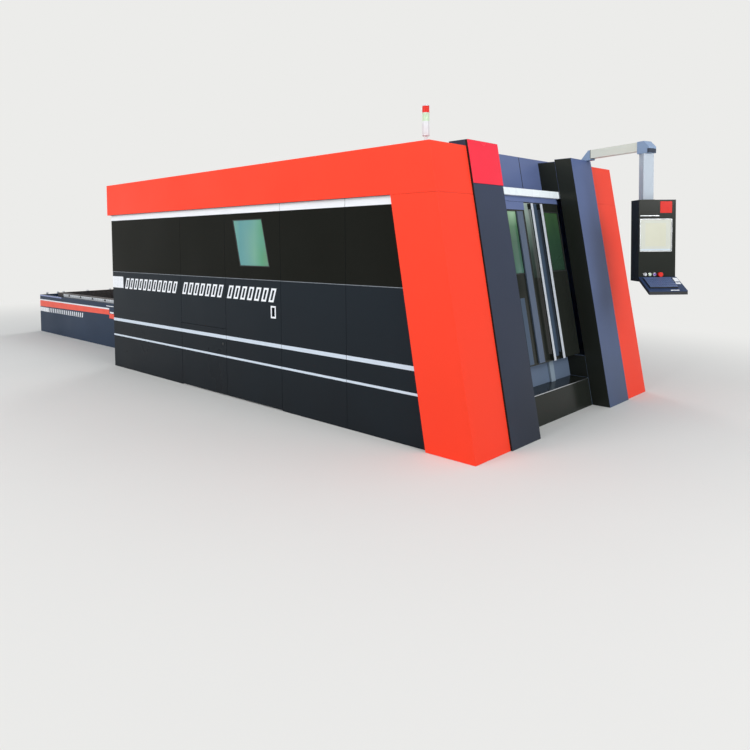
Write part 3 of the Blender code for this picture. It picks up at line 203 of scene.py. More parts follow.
def cut_steel():
    """Laser-cut slats of plain steel: blue-grey mill scale with brown spatter that grows to the tips."""
    material, tree, skin, place = shader("mill_scale_steel", {"Metallic": 0.85})
    scale = add(tree, "ShaderNodeTexNoise", {"Vector": place, "Scale": 1 / 0.06, "Detail": 6.0})
    spatter = add(tree, "ShaderNodeTexVoronoi", {"Vector": place, "Scale": 1 / 0.012})
    height = add(tree, "ShaderNodeSeparateXYZ", {"Vector": place})
    tips = add(
        tree, "ShaderNodeMapRange", {"Value": height.outputs["Z"], "From Min": 0.60, "From Max": 0.70}
    )
    burnt = add(
        tree, "ShaderNodeMath", {0: tips.outputs[0], 1: spatter.outputs["Distance"]}, operation="MULTIPLY"
    )
    steel = add(
        tree, "ShaderNodeMix",
        {0: scale.outputs["Fac"], 6: linear("#5B6067"), 7: linear("#3A3D42")}, data_type="RGBA",
    )
    tone = add(
        tree, "ShaderNodeMix", {0: burnt.outputs[0], 6: steel.outputs[2], 7: linear("#57473E")},
        data_type="RGBA",
    )
    dull = add(
        tree, "ShaderNodeMapRange", {"Value": scale.outputs["Fac"], "To Min": 0.35, "To Max": 0.65}
    )
    rough = add(
        tree, "ShaderNodeBump", {"Height": spatter.outputs["Distance"], "Strength": 0.4, "Distance": 0.0006}
    )
    join(tree, skin, tone, dull, rough)
    return material


def galvanised():
    """Hot-dip galvanised angle: pale zinc spangles of slightly different greys."""
    material, tree, skin, place = shader("galvanised_steel", {"Metallic": 0.3})
    # Spangles are about 10 mm across; they are drawn 30 mm across to show.
    spangle = add(tree, "ShaderNodeTexVoronoi", {"Vector": place, "Scale": 1 / 0.03})
    tone = add(
        tree, "ShaderNodeMix",
        {0: spangle.outputs["Color"], 6: linear("#E4E8EC"), 7: linear("#C2C8CE")}, data_type="RGBA",
    )
    dull = add(
        tree, "ShaderNodeMapRange", {"Value": spangle.outputs["Color"], "To Min": 0.32, "To Max": 0.5}
    )
    join(tree, skin, tone, dull)
    return material


def moulded(name, colour, deeper, rough, grain=0.003, depth=0.0003):
    """Moulded plastic: an even colour with the mould's fine texture and a slightly rubbed sheen."""
    material, tree, skin, place = shader(name, {"IOR": 1.46})
    texture = add(tree, "ShaderNodeTexNoise", {"Vector": place, "Scale": 1 / grain, "Detail": 2.0})
    rub = add(tree, "ShaderNodeTexNoise", {"Vector": place, "Scale": 9.0, "Detail": 3.0})
    tone = add(
        tree, "ShaderNodeMix", {0: rub.outputs["Fac"], 6: linear(colour), 7: linear(deeper)},
        data_type="RGBA",
    )
    dull = add(
        tree, "ShaderNodeMapRange",
        {"Value": rub.outputs["Fac"], "To Min": rough - 0.06, "To Max": rough + 0.1},
    )
    skin_bump = add(
        tree, "ShaderNodeBump", {"Height": texture.outputs["Fac"], "Strength": 0.3, "Distance": depth}
    )
    join(tree, skin, tone, dull, skin_bump)
    return material


def lit(name, colour, deeper, strength, rough=0.25, through=0.0, size=0.12):
    """Clear or milky plastic with light behind it: its colour glows, stronger in soft patches."""
    material, tree, skin, place = shader(
        name,
        {"IOR": 1.49, "Specular IOR Level": 0.25, "Transmission Weight": through,
         "Emission Strength": strength},
    )
    if isinstance(colour, str):
        shown = graded(tree, place, "Z", 0.0, 1.0, [colour, colour])
    else:
        shown = graded(tree, place, *colour)
    cloud = add(tree, "ShaderNodeTexNoise", {"Vector": place, "Scale": 1 / size, "Detail": 1.0})
    tone = add(
        tree, "ShaderNodeMix", {0: cloud.outputs["Fac"], 6: shown, 7: linear(deeper)},
        data_type="RGBA",
    )
    dull = add(
        tree, "ShaderNodeMapRange",
        {"Value": cloud.outputs["Fac"], "To Min": rough - 0.05, "To Max": rough + 0.08},
    )
    join(tree, skin, tone, dull)
    tree.links.new(tone.outputs[2], skin.inputs["Emission Color"])
    return material


FINISH = {
    # Satin powder coat, sprayed and baked: even and bright, with broad soft highlights; a little darker at
    # the foot, as painted shade.
    "signal_red": powder_coat(
        "signal_red_powder_coat", "#FC4A32", "#F6402A", 0.36, foot_shading_colour="#F03E22"
    ),
    # Two-pack enamel, sprayed: pinker and glossier than the powder coat beside it.
    "cap_red": powder_coat("pink_red_enamel", "#FA3048", "#F02A40", 0.22, coat=0.06),
    # Satin powder coat in dark slate, on the cassette panels: nearly black, with faint highlights, and
    # darker still at the foot as painted shade.
    "dark_slate": powder_coat(
        "dark_slate_powder_coat", "#262F38", "#1E252B", 0.30, specular=0.06, foot_shading_colour="#1C1D1F"
    ),
    # Satin powder coat in slate blue, on the leaning portal: bluer up high, and greyer at the foot as
    # painted shade.
    "slate_blue": powder_coat(
        "slate_blue_powder_coat", "#6072A4", "#4E5E84", 0.32, foot_shading_colour="#3E4A5A"
    ),
    # Gloss black lacquer: near-black with a green-brown cast and clear reflections.
    "gloss_black": powder_coat("gloss_black_lacquer", "#282B27", "#20231F", 0.16, wave=0.006),
    # Milky acrylic with a lamp behind it: an even, cool white glow.
    "light_white": lit("lit_white_acrylic", "#E4EBEE", "#DDE5E9", 0.16),
    # Green acrylic that stops the laser's light. Its glow and upright bands are painted light: the lit
    # cabin seen through it.
    "laser_glass": lit(
        "green_laser_acrylic",
        ("X", -0.11, 0.45, ["#73A68E", "#589094", "#6C9B93", "#78A986", "#4F9455", "#647F4C"]),
        "#5D9494", 0.12, 0.10, 0.12, 0.30,
    ),
    # Grey machine paint, rolled on castings and welded frames: flat and a little dull.
    "machine_grey": powder_coat(
        "grey_machine_paint", "#8E9298", "#82868C", 0.5, wave=0.0, specular=0.25
    ),
    "dark_steel": cut_steel(),
    # Milled aluminium plate: pale, with the cutter's lines.
    "aluminium": brushed("milled_aluminium", "#D2D5D9", "#B9BDC3", 0.34, 2),
    # Turned copper: warm and bright, its lines run round.
    "copper": brushed("turned_copper", "#D89A72", "#B97A52", 0.28, 0),
    # Powder coat in ivory, on the arm's square tube: warm white, softly shaded.
    "ivory": powder_coat(
        "ivory_powder_coat", "#E6E7DB", "#DCDED2", 0.36, wave=0.004, specular=0.15
    ),
    # Cast aluminium, painted: a grainier skin than sheet has.
    "pale_blue_grey": powder_coat(
        "pale_blue_cast_enamel", "#94A9C6", "#889DBA", 0.4, wave=0.002, specular=0.15
    ),
    # Powder coat in blue-grey, on the console tray: darker and bluer than the portal.
    "tray_blue_grey": powder_coat(
        "blue_grey_powder_coat", "#324364", "#2B3956", 0.3, wave=0.002
    ),
    # Moulded ABS in light grey: even, with a fine grain.
    "light_grey": moulded("light_grey_abs", "#DADDE0", "#CED2D6", 0.36),
    # Screen glass with its backlight on: pale and even.
    "screen": lit("lit_screen", "#C1C4BA", "#BABDB3", 0.12, 0.3),
    # Polycarbonate lenses: the lamp inside is off; their faint glow is painted light, standing in for the
    # room's light that they gather.
    "green_lens": lit("pale_green_polycarbonate", "#D6EACF", "#C6E0C0", 0.06, 0.18, 0.2),
    "stop_red": lit("red_polycarbonate", "#E4362A", "#D82A20", 0.06, 0.22, 0.1),
    # Moulded nylon: strong colour under a soft sheen.
    "violet_button": moulded("violet_nylon", "#7E5CB6", "#6C4CA4", 0.3),
    # Moulded ABS in black: matt, and greyer where it is rubbed.
    "black_plastic": moulded("black_abs", "#26282C", "#1E2023", 0.42),
}
# The near pillar stands in the side's own shade: the same slate, darkened as painted shade, and darker
# still at the foot.
SHADED_SLATE = powder_coat(
    "painted_shade_slate_powder_coat", "#414A62", "#363D4C", 0.32, specular=0.08, foot_shading_colour="#27292C"
)
# The table's skirt in its own slate: bluer than the side panels, and as dull.
SKIRT_SLATE = powder_coat("skirt_slate_powder_coat", "#34435A", "#2C3848", 0.34, specular=0.06)
# The leaves' laser acrylic glows with painted light for the lit cabin behind it: the near one is painted
# pale at its top, the far one darker.
NEAR_LEAF_GLASS = lit(
    "near_leaf_laser_acrylic",
    ("Z", 1.25, 1.785, ["#53776D", "#406256", "#3D5B47", "#56805A", "#B8E0B6"]),
    "#456655", 0.12, 0.10, 0.12, 0.20,
)
FAR_LEAF_GLASS = lit(
    "far_leaf_laser_acrylic", ("Z", 1.25, 1.785, ["#263A30", "#2E4A36", "#4A6C3C"]), "#2B4434", 0.12,
    0.10, 0.12, 0.20,
)
GALVANISED = galvanised()
# Extruded aluminium, brushed and anodised: the thin trims, bright along their lines.
ANODISED = brushed("brushed_anodised_aluminium", "#D9DCE0", "#B4B8BE", 0.28, 2)
# The same extrusion with a matt silver anodising, on the pull bars: pale, and nearly even.
SILVER_ANODISED = brushed(
    "matt_silver_anodised_aluminium", "#D6DCE4", "#C2C9D2", 0.42, 2, metallic=0.35
)
# Stainless steel, ground: knobs, bezels and screws, with small sharp glints.
STAINLESS = brushed("ground_stainless_steel", "#C9CBCD", "#A9ACAF", 0.24, 0)
# Cast vinyl film, laid on the panels: flat colour, a little duller than the paint.
BLACK_FILM = powder_coat("gloss_black_film", "#1D1E1B", "#171814", 0.18, specular=0.03)
WHITE_FILM = moulded("white_vinyl_film", "#F0F3F7", "#E8ECF2", 0.34, 0.012)
PALE_FILM = moulded("pale_blue_vinyl_film", "#CFDAE6", "#C4D0DE", 0.34, 0.012)
LINE_FILM = moulded("grey_blue_vinyl_line", "#8E959E", "#80878F", 0.4, 0.012)
ORANGE_FILM = moulded("orange_red_vinyl_film", "#FA5238", "#F0482E", 0.34, 0.012)
# The portal's smaller sheets, powder coated in slates of their own: flat, with soft highlights. The kick
# panel's and the table rim's lighter slates are painted light.
STILE_GREY = powder_coat("stile_grey_powder_coat", "#5C687C", "#505C6E", 0.36, wave=0.0)
HEADER_SLATE = powder_coat("header_slate_powder_coat", "#6877A2", "#5C6A92", 0.34)
# The leaves' slate runs lighter towards the foot: painted light.
LEAF_SLATE = powder_coat(
    "leaf_slate_powder_coat", "#3A4958", "#3F4E60", 0.3, wave=0.0, foot_shading_colour="#4C5C72"
)
# The kick panel's slate is painted lighter than the slate around it: painted light in the shaded niche.
KICK_PAINTED_LIGHT_SLATE = powder_coat("painted_light_slate_powder_coat", "#6F8098", "#617085", 0.36, wave=0.004)
POST_GREY = powder_coat("post_grey_powder_coat", "#98A8B6", "#8796A4", 0.36, wave=0.0)
# The table rim's pale blue is a painted highlight: the skirt's top edge catching light.
RIM_HIGHLIGHT_BLUE = powder_coat("painted_highlight_rim_powder_coat", "#98A2CC", "#8A94BC", 0.34, wave=0.0)
# Acrylic strip on the leaf's closing edge: painted light, pale and faintly glowing at the top, where the
# lit cabin stands behind it, dark below.
CLOSING_STRIP_PAINTED_LIGHT = lit(
    "closing_edge_painted_light_acrylic", ("Z", 1.20, 1.86, ["#20261F", "#3E4C46", "#8FA49A", "#D4E8DC"]), "#36423E",
    0.03, 0.12, 0.0, 0.25,
)
# Powder coat in cool white, on the square drop tube: bluer than the ivory beam above it.
TUBE_WHITE = powder_coat(
    "cool_white_powder_coat", "#B4BEC8", "#ABB5C0", 0.36, wave=0.004, specular=0.15
)
# Enamelled plate and lacquered lugs: clear colour, a little glossier than the powder coats.
PLATE_RED = powder_coat("red_enamel_plate", "#D2322A", "#C82C24", 0.26, wave=0.0)
YELLOW_LACQUER = powder_coat("yellow_lacquer", "#E8B428", "#DAA51E", 0.35, wave=0.0, specular=0.25)
# Rubber seals, extruded: matt and slightly bloomed.
RUBBER = moulded("black_epdm_rubber", "#1D1E1F", "#26282A", 0.62, 0.004)
# Moulded key caps and the elbow's insert: dull, with a fine grain.
KEY_PLASTIC = moulded("blue_grey_key_abs", "#5C6E98", "#50628A", 0.4, 0.0015)
DARK_INSERT = moulded("dark_blue_nylon", "#2E3A4C", "#26303F", 0.45)
# The screen's picture: a plain field and a cooler bar at its foot, both lit from behind.
SCREEN_FIELD = lit("lit_screen_field", "#C2C3B2", "#BBBCAA", 0.14, 0.3)
SCREEN_BAR = lit("lit_screen_bar", "#BECAD2", "#B6C2CA", 0.14, 0.3)
# Nodes whose finish differs from the rest of their slot, as the photo shows them.
OWN_FINISH = {
    "kick_panel": KICK_PAINTED_LIGHT_SLATE, "near_pillar": SHADED_SLATE, "exchange_table": SKIRT_SLATE,
    "front_header": HEADER_SLATE, "drop_tube": TUBE_WHITE, "near_front_leaf_glass": NEAR_LEAF_GLASS,
    "far_front_leaf_glass": FAR_LEAF_GLASS,
}


def smooth_folds():
    """Smooth shading that stays sharp at every edge of more than the fold angle."""
    group = bpy.data.node_groups.new("smooth_folds", "GeometryNodeTree")
    group.interface.new_socket("Geometry", in_out="INPUT", socket_type="NodeSocketGeometry")
    group.interface.new_socket("Geometry", in_out="OUTPUT", socket_type="NodeSocketGeometry")
    start = add(group, "NodeGroupInput")
    angle = add(group, "GeometryNodeInputMeshEdgeAngle")
    shallow = add(
        group, "FunctionNodeCompare", {0: angle.outputs["Unsigned Angle"], 1: FOLD_ANGLE},
        data_type="FLOAT", operation="LESS_THAN",
    )
    faces = add(group, "GeometryNodeSetShadeSmooth", {"Geometry": start.outputs[0]}, domain="FACE")
    edges = add(
        group, "GeometryNodeSetShadeSmooth",
        {"Geometry": faces.outputs[0], "Shade Smooth": shallow.outputs["Result"]}, domain="EDGE",
    )
    add(group, "NodeGroupOutput", {0: edges.outputs[0]})
    return group


SMOOTH_FOLDS = smooth_folds()


def soften(obj, edge, steps=2):
    """Smooths the faces and rounds the edges by this much, as a fold or a deburred edge is."""
    obj.modifiers.new("smooth_folds", "NODES").node_group = SMOOTH_FOLDS
    if not edge:
        return
    bevel = obj.modifiers.new("rounded_edges", "BEVEL")
    bevel.width = edge
    bevel.segments = steps
    bevel.limit_method = "ANGLE"
    bevel.angle_limit = FOLD_ANGLE
    bevel.harden_normals = True


def object_of(name, shape, finish):
    """The object made from this shape, in this finish."""
    bmesh.ops.recalc_face_normals(shape, faces=shape.faces)
    mesh = bpy.data.meshes.new(name)
    shape.to_mesh(mesh)
    shape.free()
    mesh.materials.append(finish)
    obj = bpy.data.objects.new(name, mesh)
    bpy.context.scene.collection.objects.link(obj)
    return obj


def piece(name, shape, finish, body, edge=0.0, slot=None):
    """The object made from this shape, which rides on that body."""
    if isinstance(finish, str):
        slot, finish = finish, FINISH[finish]
    obj = object_of(name, shape, finish)
    soften(obj, edge)
    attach(obj, body)
    return obj


def slab(shape, outline, place, low, high, hole=None):
    """Adds a flat piece with this outline, and a hole of as many corners, between two depths."""
    loops = [outline] + ([hole] if hole else [])
    count = len(outline)
    levels = [
        [[shape.verts.new(place(u, v, depth)) for u, v in loop] for loop in loops]
        for depth in (low, high)
    ]
    for step in range(count):
        after = (step + 1) % count
        for number in range(len(loops)):
            below, above = levels[0][number], levels[1][number]
            shape.faces.new((below[step], below[after], above[after], above[step]))
        if hole:
            for outer, inner in levels:
                shape.faces.new((outer[step], outer[after], inner[after], inner[step]))
    if not hole:
        shape.faces.new(levels[0][0])
        shape.faces.new(levels[1][0])


def strip(shape, place, u0, u1, v0, v1, low, high):
    """Adds a rectangular piece."""
    slab(shape, [(u0, v0), (u1, v0), (u1, v1), (u0, v1)], place, low, high)


def frame_ring(shape, place, outline, wide, low, high):
    """Adds a frame of this width round an outline of four corners that face about +u and +v."""
    middle = (sum(u for u, _ in outline) / 4, sum(v for _, v in outline) / 4)
    outer = [
        (u + math.copysign(wide, u - middle[0]), v + math.copysign(wide, v - middle[1]))
        for u, v in outline
    ]
    slab(shape, outer, place, low, high, hole=outline)


def turn_on(shape, profile, place, steps=40):
    """Adds a turned shape: profile lists (radius, height) up its outside, and place sets its axis."""
    rings = []
    for radius, height in profile:
        if radius == 0:
            rings.append([shape.verts.new(place(0, 0, height))])
            continue
        rings.append([
            shape.verts.new(place(
                radius * math.cos(math.tau * step / steps), radius * math.sin(math.tau * step / steps),
                height,
            ))
            for step in range(steps)
        ])
    for below, above in zip(rings, rings[1:]):
        for step in range(steps):
            after = (step + 1) % steps
            corners = [
                below[step % len(below)], below[after % len(below)],
                above[after % len(above)], above[step % len(above)],
            ]
            kept = [c for number, c in enumerate(corners) if c not in corners[:number]]
            if len(kept) > 2:
                shape.faces.new(kept)
    for ring in (rings[0], rings[-1]):
        if len(ring) > 1:
            shape.faces.new(ring)


def on_side(side):
    """Places (x, z, out) on that long side's panels."""
    return lambda x, z, out: (x, side * (SIDE_FACE + out), z)


def on_front(setback):
    """Places (y, z, out) on a face that leans with the portal, this far behind its front."""
    return lambda y, z, out: (front_x(z) - setback + out, y, z)


def on_cheek(side):
    """Places (setback, z, out) on that pillar's inner face."""
    return lambda setback, z, out: (front_x(z) - setback, side * (CHEEK_Y - out), z)


def on_outer(side):
    """Places (setback, z, out) on that pillar's outer face."""
    return lambda setback, z, out: (front_x(z) - setback, side * (PILLAR_OUTER_Y + out), z)


def on_table(side):
    """Places (x, z, out) on that skirt of the exchange table."""
    return lambda x, z, out: (x, side * (TABLE_FACE + out), z)


def on_pallet(side):
    """Places (x, z, out) on that edge of the outer pallet."""
    return lambda x, z, out: (x, side * (PALLET_FACE + out), z)


def on_roof(x, y, up):
    """Places (x, y, up) on the roof."""
    return (x, y, ROOF_TOP + up)


def on_rear(y, z, out):
    """Places (y, z, out) on the rear wall."""
    return (-FRONT - out, y, z)


def up_front(y, setback, z):
    """Places a cross-section (y, setback) that runs up the lean."""
    return (front_x(z) - setback, y, z)


PENDANT_AXIS = Vector((3.0097, 0.7748, 0))
PENDANT_TURN = Matrix.Rotation(math.radians(45), 3, "Z")
PENDANT_FACE = -0.1125
TRAY_BACK_Y = -0.1128
TRAY_BACK_Z = 1.2017
TRAY_SLOPE = math.radians(27)
TRAY_FRONT = 0.235


def round_pendant(x, y, z):
    """Places (x, y, z) round the pendant's own upright axis."""
    return PENDANT_AXIS + PENDANT_TURN @ Vector((x, y, z))


def on_pendant(x, z, out):
    """Places (x, z, out) on the pendant's front face."""
    return round_pendant(x, PENDANT_FACE - out, z)


def on_tray(x, down, up):
    """Places (x, down the slope, up from it) on the console tray."""
    y = TRAY_BACK_Y - down * math.cos(TRAY_SLOPE) - up * math.sin(TRAY_SLOPE)
    z = TRAY_BACK_Z - down * math.sin(TRAY_SLOPE) + up * math.cos(TRAY_SLOPE)
    return round_pendant(x, y, z)


def under_tray(x, down, rise, ahead):
    """Places a point of the tray's upright faces: straight up or down from its slope."""
    y = TRAY_BACK_Y - down * math.cos(TRAY_SLOPE) - ahead
    z = TRAY_BACK_Z - down * math.sin(TRAY_SLOPE) + rise
    return round_pendant(x, y, z)


ARM_PIVOT = Vector((2.33, 0.999, 0))
ARM_TURN = Matrix.Rotation(math.radians(-18.26), 3, "Z")


def on_arm(along, z, out):
    """Places (along the arm, z, out towards the near side) on the arm."""
    return ARM_PIVOT + ARM_TURN @ Vector((along, -out, z))


# How far each kind of piece has its edges rounded: a fold's radius, or a deburred edge.
EDGES = {
    "fascia": 0.0015, "column_cover": 0.0015, "pillar": 0.004, "pillar_cap": 0.002, "panel": 0.002,
    "hatch": 0.002, "side_door": 0.002, "front_leaf": 0.003, "header": 0.003, "wall": 0.003,
    "sill_step": 0.005, "kick_panel": 0.003, "machine_bed": 0.004, "exchange_table": 0.003,
    "gantry_beam": 0.006, "enclosure_frame": 0.004, "pendant_housing": 0.010, "console_tray": 0.004,
    "arm": 0.004, "drop_tube": 0.004, "pallet": 0.001, "drive": 0.003, "carriage": 0.003,
    "z_slide": 0.003, "shutter": 0.002, "light_bar": 0.003,
}


def dress_nodes():
    """Gives every solid its finish and rounds its edges."""
    finishes = {part["node"]: part["material_slot"] for part in frame["record"]["subparts"]}
    for name, obj in frame["nodes"].items():
        finish = OWN_FINISH.get(name) or FINISH[finishes[name]]
        for number in range(len(obj.material_slots)):
            obj.material_slots[number].material = finish
        weld = obj.modifiers.new("weld", "WELD")
        weld.merge_threshold = WELD_REACH
        edge = [width for part, width in EDGES.items() if part in name]
        soften(obj, edge[0] if edge else DEBURRED_EDGE)


def panel_runs(side_name, foot, low_panels):
    """(body, x start, x end) of each panel that a band with this foot crosses. Above the door the
    rearmost panel's band runs on to the door's front seam."""
    if foot >= DOOR_TOP:
        return [("machine", REAR_END, DOOR_RUN[1]), ("machine", *MIDDLE_RUN), ("machine", *FRONT_RUN)]
    return [
        ("machine", *REAR_RUN),
        (f"{side_name}_hatch" if low_panels else "machine", *HATCH_RUN),
        (f"{side_name}_door", *DOOR_RUN),
        ("machine", *MIDDLE_RUN),
        ("machine", *FRONT_RUN),
    ]


def band_outline(start, end, foot, top):
    """A band's outline; the last panel ends along the column's lean."""
    ends = [COLUMN_EDGE - LEAN_SHARE * z if end is None else end for z in (foot, top)]
    return [(start, foot), (ends[0], foot), (ends[1], top), (start, top)]


def lay_band(side, side_name, name, finish, foot, top, out, low_panels=False, window=None):
    """Lays one film band along a side, cut at every seam so that the doors take their own part."""
    shapes = {}
    for body, start, end in panel_runs(side_name, foot, low_panels):
        cut = min(top, DOOR_FILM_TOP) if start in (HATCH_RUN[0], DOOR_RUN[0]) else top
        hole = window if body.endswith("_door") else None
        shape = shapes.setdefault(body, bmesh.new())
        slab(shape, band_outline(start, end, foot, cut), on_side(side), UNDER, out, hole)
    for body, shape in shapes.items():
        part = name if body == "machine" else f"{name}_{body.split('_')[1]}"
        piece(f"{side_name}_{part}", shape, finish, body, slot="dark_slate")


# The door window's opening and its gasket's outer edge, as (x, z).
WINDOW = [(-0.001, 1.3145), (0.442, 1.3145), (0.3345, 1.7445), (-0.1085, 1.7445)]
GASKET = [(-0.0115, 1.3055), (0.4545, 1.3055), (0.3430, 1.7535), (-0.1230, 1.7535)]
# One slanted bar of the side's rows, and its opening, as (x, z) from the bar's own foot.
BAR_PITCH = 0.112
BAR_OUTER = [(0.0, 0.985), (0.074, 0.985), (0.124, 1.113), (0.050, 1.113)]
BAR_INNER = [(0.0285, 1.003), (0.0595, 1.003), (0.0955, 1.095), (0.0645, 1.095)]


def dress_side(side, side_name):
    """The long side: black upper zone, white band, pale line and stripes, slanted bars, pull."""
    place = on_side(side)
    lay_band(side, side_name, "black_zone", BLACK_FILM, BLACK_FOOT, 1.8143, 0.0004, window=WINDOW)
    lay_band(side, side_name, "white_band", WHITE_FILM, BAND_FOOT, BAND_TOP, 0.0005)
    lay_band(side, side_name, "pale_line", LINE_FILM, 1.1825, 1.1868, 0.0005)
    lay_band(side, side_name, "upper_stripe", PALE_FILM, 0.5725, 0.6075, 0.0005, low_panels=True)
    lay_band(side, side_name, "lower_stripe", PALE_FILM, 0.387, 0.407, 0.0005, low_panels=True)

    blocks = bmesh.new()
    for number in range(7):
        x = -2.748 + 0.0402 * number
        strip(blocks, place, x, x + 0.0375, 0.988, 1.127, UNDER, 0.0006)
    piece(f"{side_name}_mark_blocks", blocks, WHITE_FILM, "machine", slot="light_white")

    door = f"{side_name}_door"
    rows = (("rear", "machine", -2.425, 11), ("middle", "machine", -1.092, 7), ("door", door, -0.245, 7))
    for tail, body, start, count in rows:
        bars = bmesh.new()
        for number in range(count):
            x = start + BAR_PITCH * number
            outer, inner = ([(x + u, z) for u, z in loop] for loop in (BAR_OUTER, BAR_INNER))
            slab(bars, outer, place, UNDER, 0.0006, hole=inner)
        piece(f"{side_name}_lettering_bars_{tail}", bars, WHITE_FILM, body, slot="light_white")

    gasket = bmesh.new()
    slab(gasket, GASKET, place, -0.001, 0.0018, hole=WINDOW)
    piece(f"{side_name}_window_gasket", gasket, RUBBER, door, 0.0006, slot="black_plastic")
    rim = bmesh.new()
    pull = [(0.4772, 0.8532), (0.5208, 0.8532), (0.5208, 0.9368), (0.4772, 0.9368)]
    frame_ring(rim, place, pull, 0.015, UNDER, 0.0022)
    piece(f"{side_name}_pull_rim", rim, WHITE_FILM, door, 0.0006, slot="light_white")
    catch = bmesh.new()
    turn_on(catch, [(0.014, -0.001), (0.014, 0.003), (0.011, 0.005), (0, 0.005)],
            lambda u, v, h: (-0.325 + u, side * (SIDE_FACE + h), 0.52 + v))
    strip(catch, place, -0.327, -0.323, 0.512, 0.528, 0.004, 0.0062)
    piece(f"{side_name}_hatch_catch", catch, "black_plastic", f"{side_name}_hatch", 0.0004)


def dress_portal():
    """The leaning front: black cheeks, light bar, header trim, bars, stile, gaskets, post and sill."""
    for side, side_name in SIDES:
        cheek = bmesh.new()
        slab(cheek, [(-0.012, 0.002), (0.156, 0.002), (0.156, 2.298), (-0.012, 2.298)], on_cheek(side),
             -0.0005, 0.0002)
        piece(f"{side_name}_pillar_cheek", cheek, "gloss_black", "machine")
        edge = bmesh.new()
        slab(edge, [(-0.0122, 0.002), (0.004, 0.002), (0.004, 2.298), (-0.0122, 2.298)], on_outer(side),
             -0.0005, 0.0002)
        piece(f"{side_name}_pillar_edge_film", edge, "gloss_black", "machine")
        inner = bmesh.new()
        reveals = ((1.9275, 2.278, 0.1585), (0.4525, 1.8675, 0.2515), (0.2515, 0.4480, 0.1585))
        for foot, top, start in reveals:
            slab(inner, [(start, foot), (0.3355, foot), (0.3355, top), (start, top)], on_cheek(side),
                 -0.0005, 0.0004)
        piece(f"{side_name}_reveal_film", inner, "gloss_black", "machine")
    seam = bmesh.new()
    strip(seam, on_front(WALL_SETBACK), 0.2765, 0.2835, 1.8725, 2.3070, -0.001, 0.0006)
    piece("header_seam", seam, RUBBER, "machine", slot="black_plastic")
    # A fixed valance hides the hangers that the leaves roll on.
    valance = bmesh.new()
    strip(valance, on_front(0.1995), -0.6215, 0.6215, 1.8715, 1.9215, 0.0, 0.002)
    piece("header_valance", valance, HEADER_SLATE, "machine", 0.0005, slot="slate_blue")
    top_cover = bmesh.new()
    strip(top_cover, on_front(LEAF_SETBACK), -0.299, 0.008, 1.800, 1.8690, -0.001, 0.0014)
    piece("near_leaf_top_cover", top_cover, HEADER_SLATE, "near_leaf", 0.0005, slot="slate_blue")
    edge_strip = bmesh.new()
    strip(edge_strip, on_front(LEAF_SETBACK), -0.2785, -0.210, 0.482, 1.040, -0.001, 0.0012)
    piece("near_leaf_edge_strip", edge_strip, LEAF_SLATE, "near_leaf", 0.0005, slot="slate_blue")
    closing = bmesh.new()
    strip(closing, on_front(LEAF_SETBACK), 0.003, 0.118, 1.200, 1.862, -0.001, 0.0010)
    piece("near_leaf_closing_strip", closing, CLOSING_STRIP_PAINTED_LIGHT, "near_leaf", 0.0005, slot="slate_blue")
    for side_name, y0, y1 in (("near", 0.1200, 0.1565), ("far", 0.1645, 0.3250)):
        meeting = bmesh.new()
        strip(meeting, on_front(LEAF_SETBACK), y0, y1, 0.500, 1.862, -0.001, 0.0010)
        piece(f"{side_name}_leaf_meeting_strip", meeting, LEAF_SLATE, f"{side_name}_leaf", 0.0005,
              slot="slate_blue")
    caps = bmesh.new()
    for y in (-0.6175, 0.6055):
        strip(caps, on_front(LIGHT_SETBACK), y, y + 0.012, 1.9195, 1.9885, -0.056, 0.0015)
    piece("light_bar_caps", caps, STAINLESS, "machine", 0.0008, slot="aluminium")

    for side_name, y0, y1 in (("near", 0.0640, 0.0975), ("far", 0.2260, 0.2640)):
        bar = bmesh.new()
        profile = [
            (y0, 0.1625), (y0, 0.1584), (y1, 0.1584), (y1, 0.1765), (y1 - 0.0022, 0.1765),
            (y1 - 0.0022, 0.1599), (y0 + 0.0022, 0.1599), (y0 + 0.0022, 0.1625),
        ]
        slab(bar, profile, up_front, 0.480, 1.860)
        piece(f"{side_name}_pull_bar_channel", bar, SILVER_ANODISED, f"{side_name}_leaf", 0.0006,
              slot="aluminium")
    stile = bmesh.new()
    profile = [
        (-0.1430, 0.1985), (-0.1430, 0.1854), (-0.1270, 0.1854), (-0.1250, 0.1868), (-0.0680, 0.1868),
        (-0.0660, 0.1854), (-0.0500, 0.1854), (-0.0500, 0.1985),
    ]
    slab(stile, profile, up_front, 0.4815, 1.786)
    piece("leaf_stile_cover", stile, STILE_GREY, "near_leaf", 0.0008, slot="slate_blue")
    for side_name, y0, y1 in (("near", -0.281, -0.027), ("far", 0.347, 0.601)):
        gasket = bmesh.new()
        pane = [(y0, 1.25), (y1, 1.25), (y1, 1.785), (y0, 1.785)]
        frame_ring(gasket, on_front(LEAF_SETBACK), pane, 0.008, -0.002, 0.0016)
        piece(f"{side_name}_leaf_gasket", gasket, RUBBER, f"{side_name}_leaf", 0.0005, slot="black_plastic")
    post = bmesh.new()
    strip(post, on_front(0.317), 0.2335, 0.3065, 0.2505, 0.4495, -0.019, 0.0015)
    piece("kick_post_cover", post, POST_GREY, "machine", 0.002, slot="light_grey")
    sill = bmesh.new()
    strip(sill, on_front(LIGHT_SETBACK), -0.615, 0.615, 0.243, 0.2495, -0.001, 0.0012)
    piece("sill_light_strip", sill, ANODISED, "machine", 0.0005, slot="aluminium")


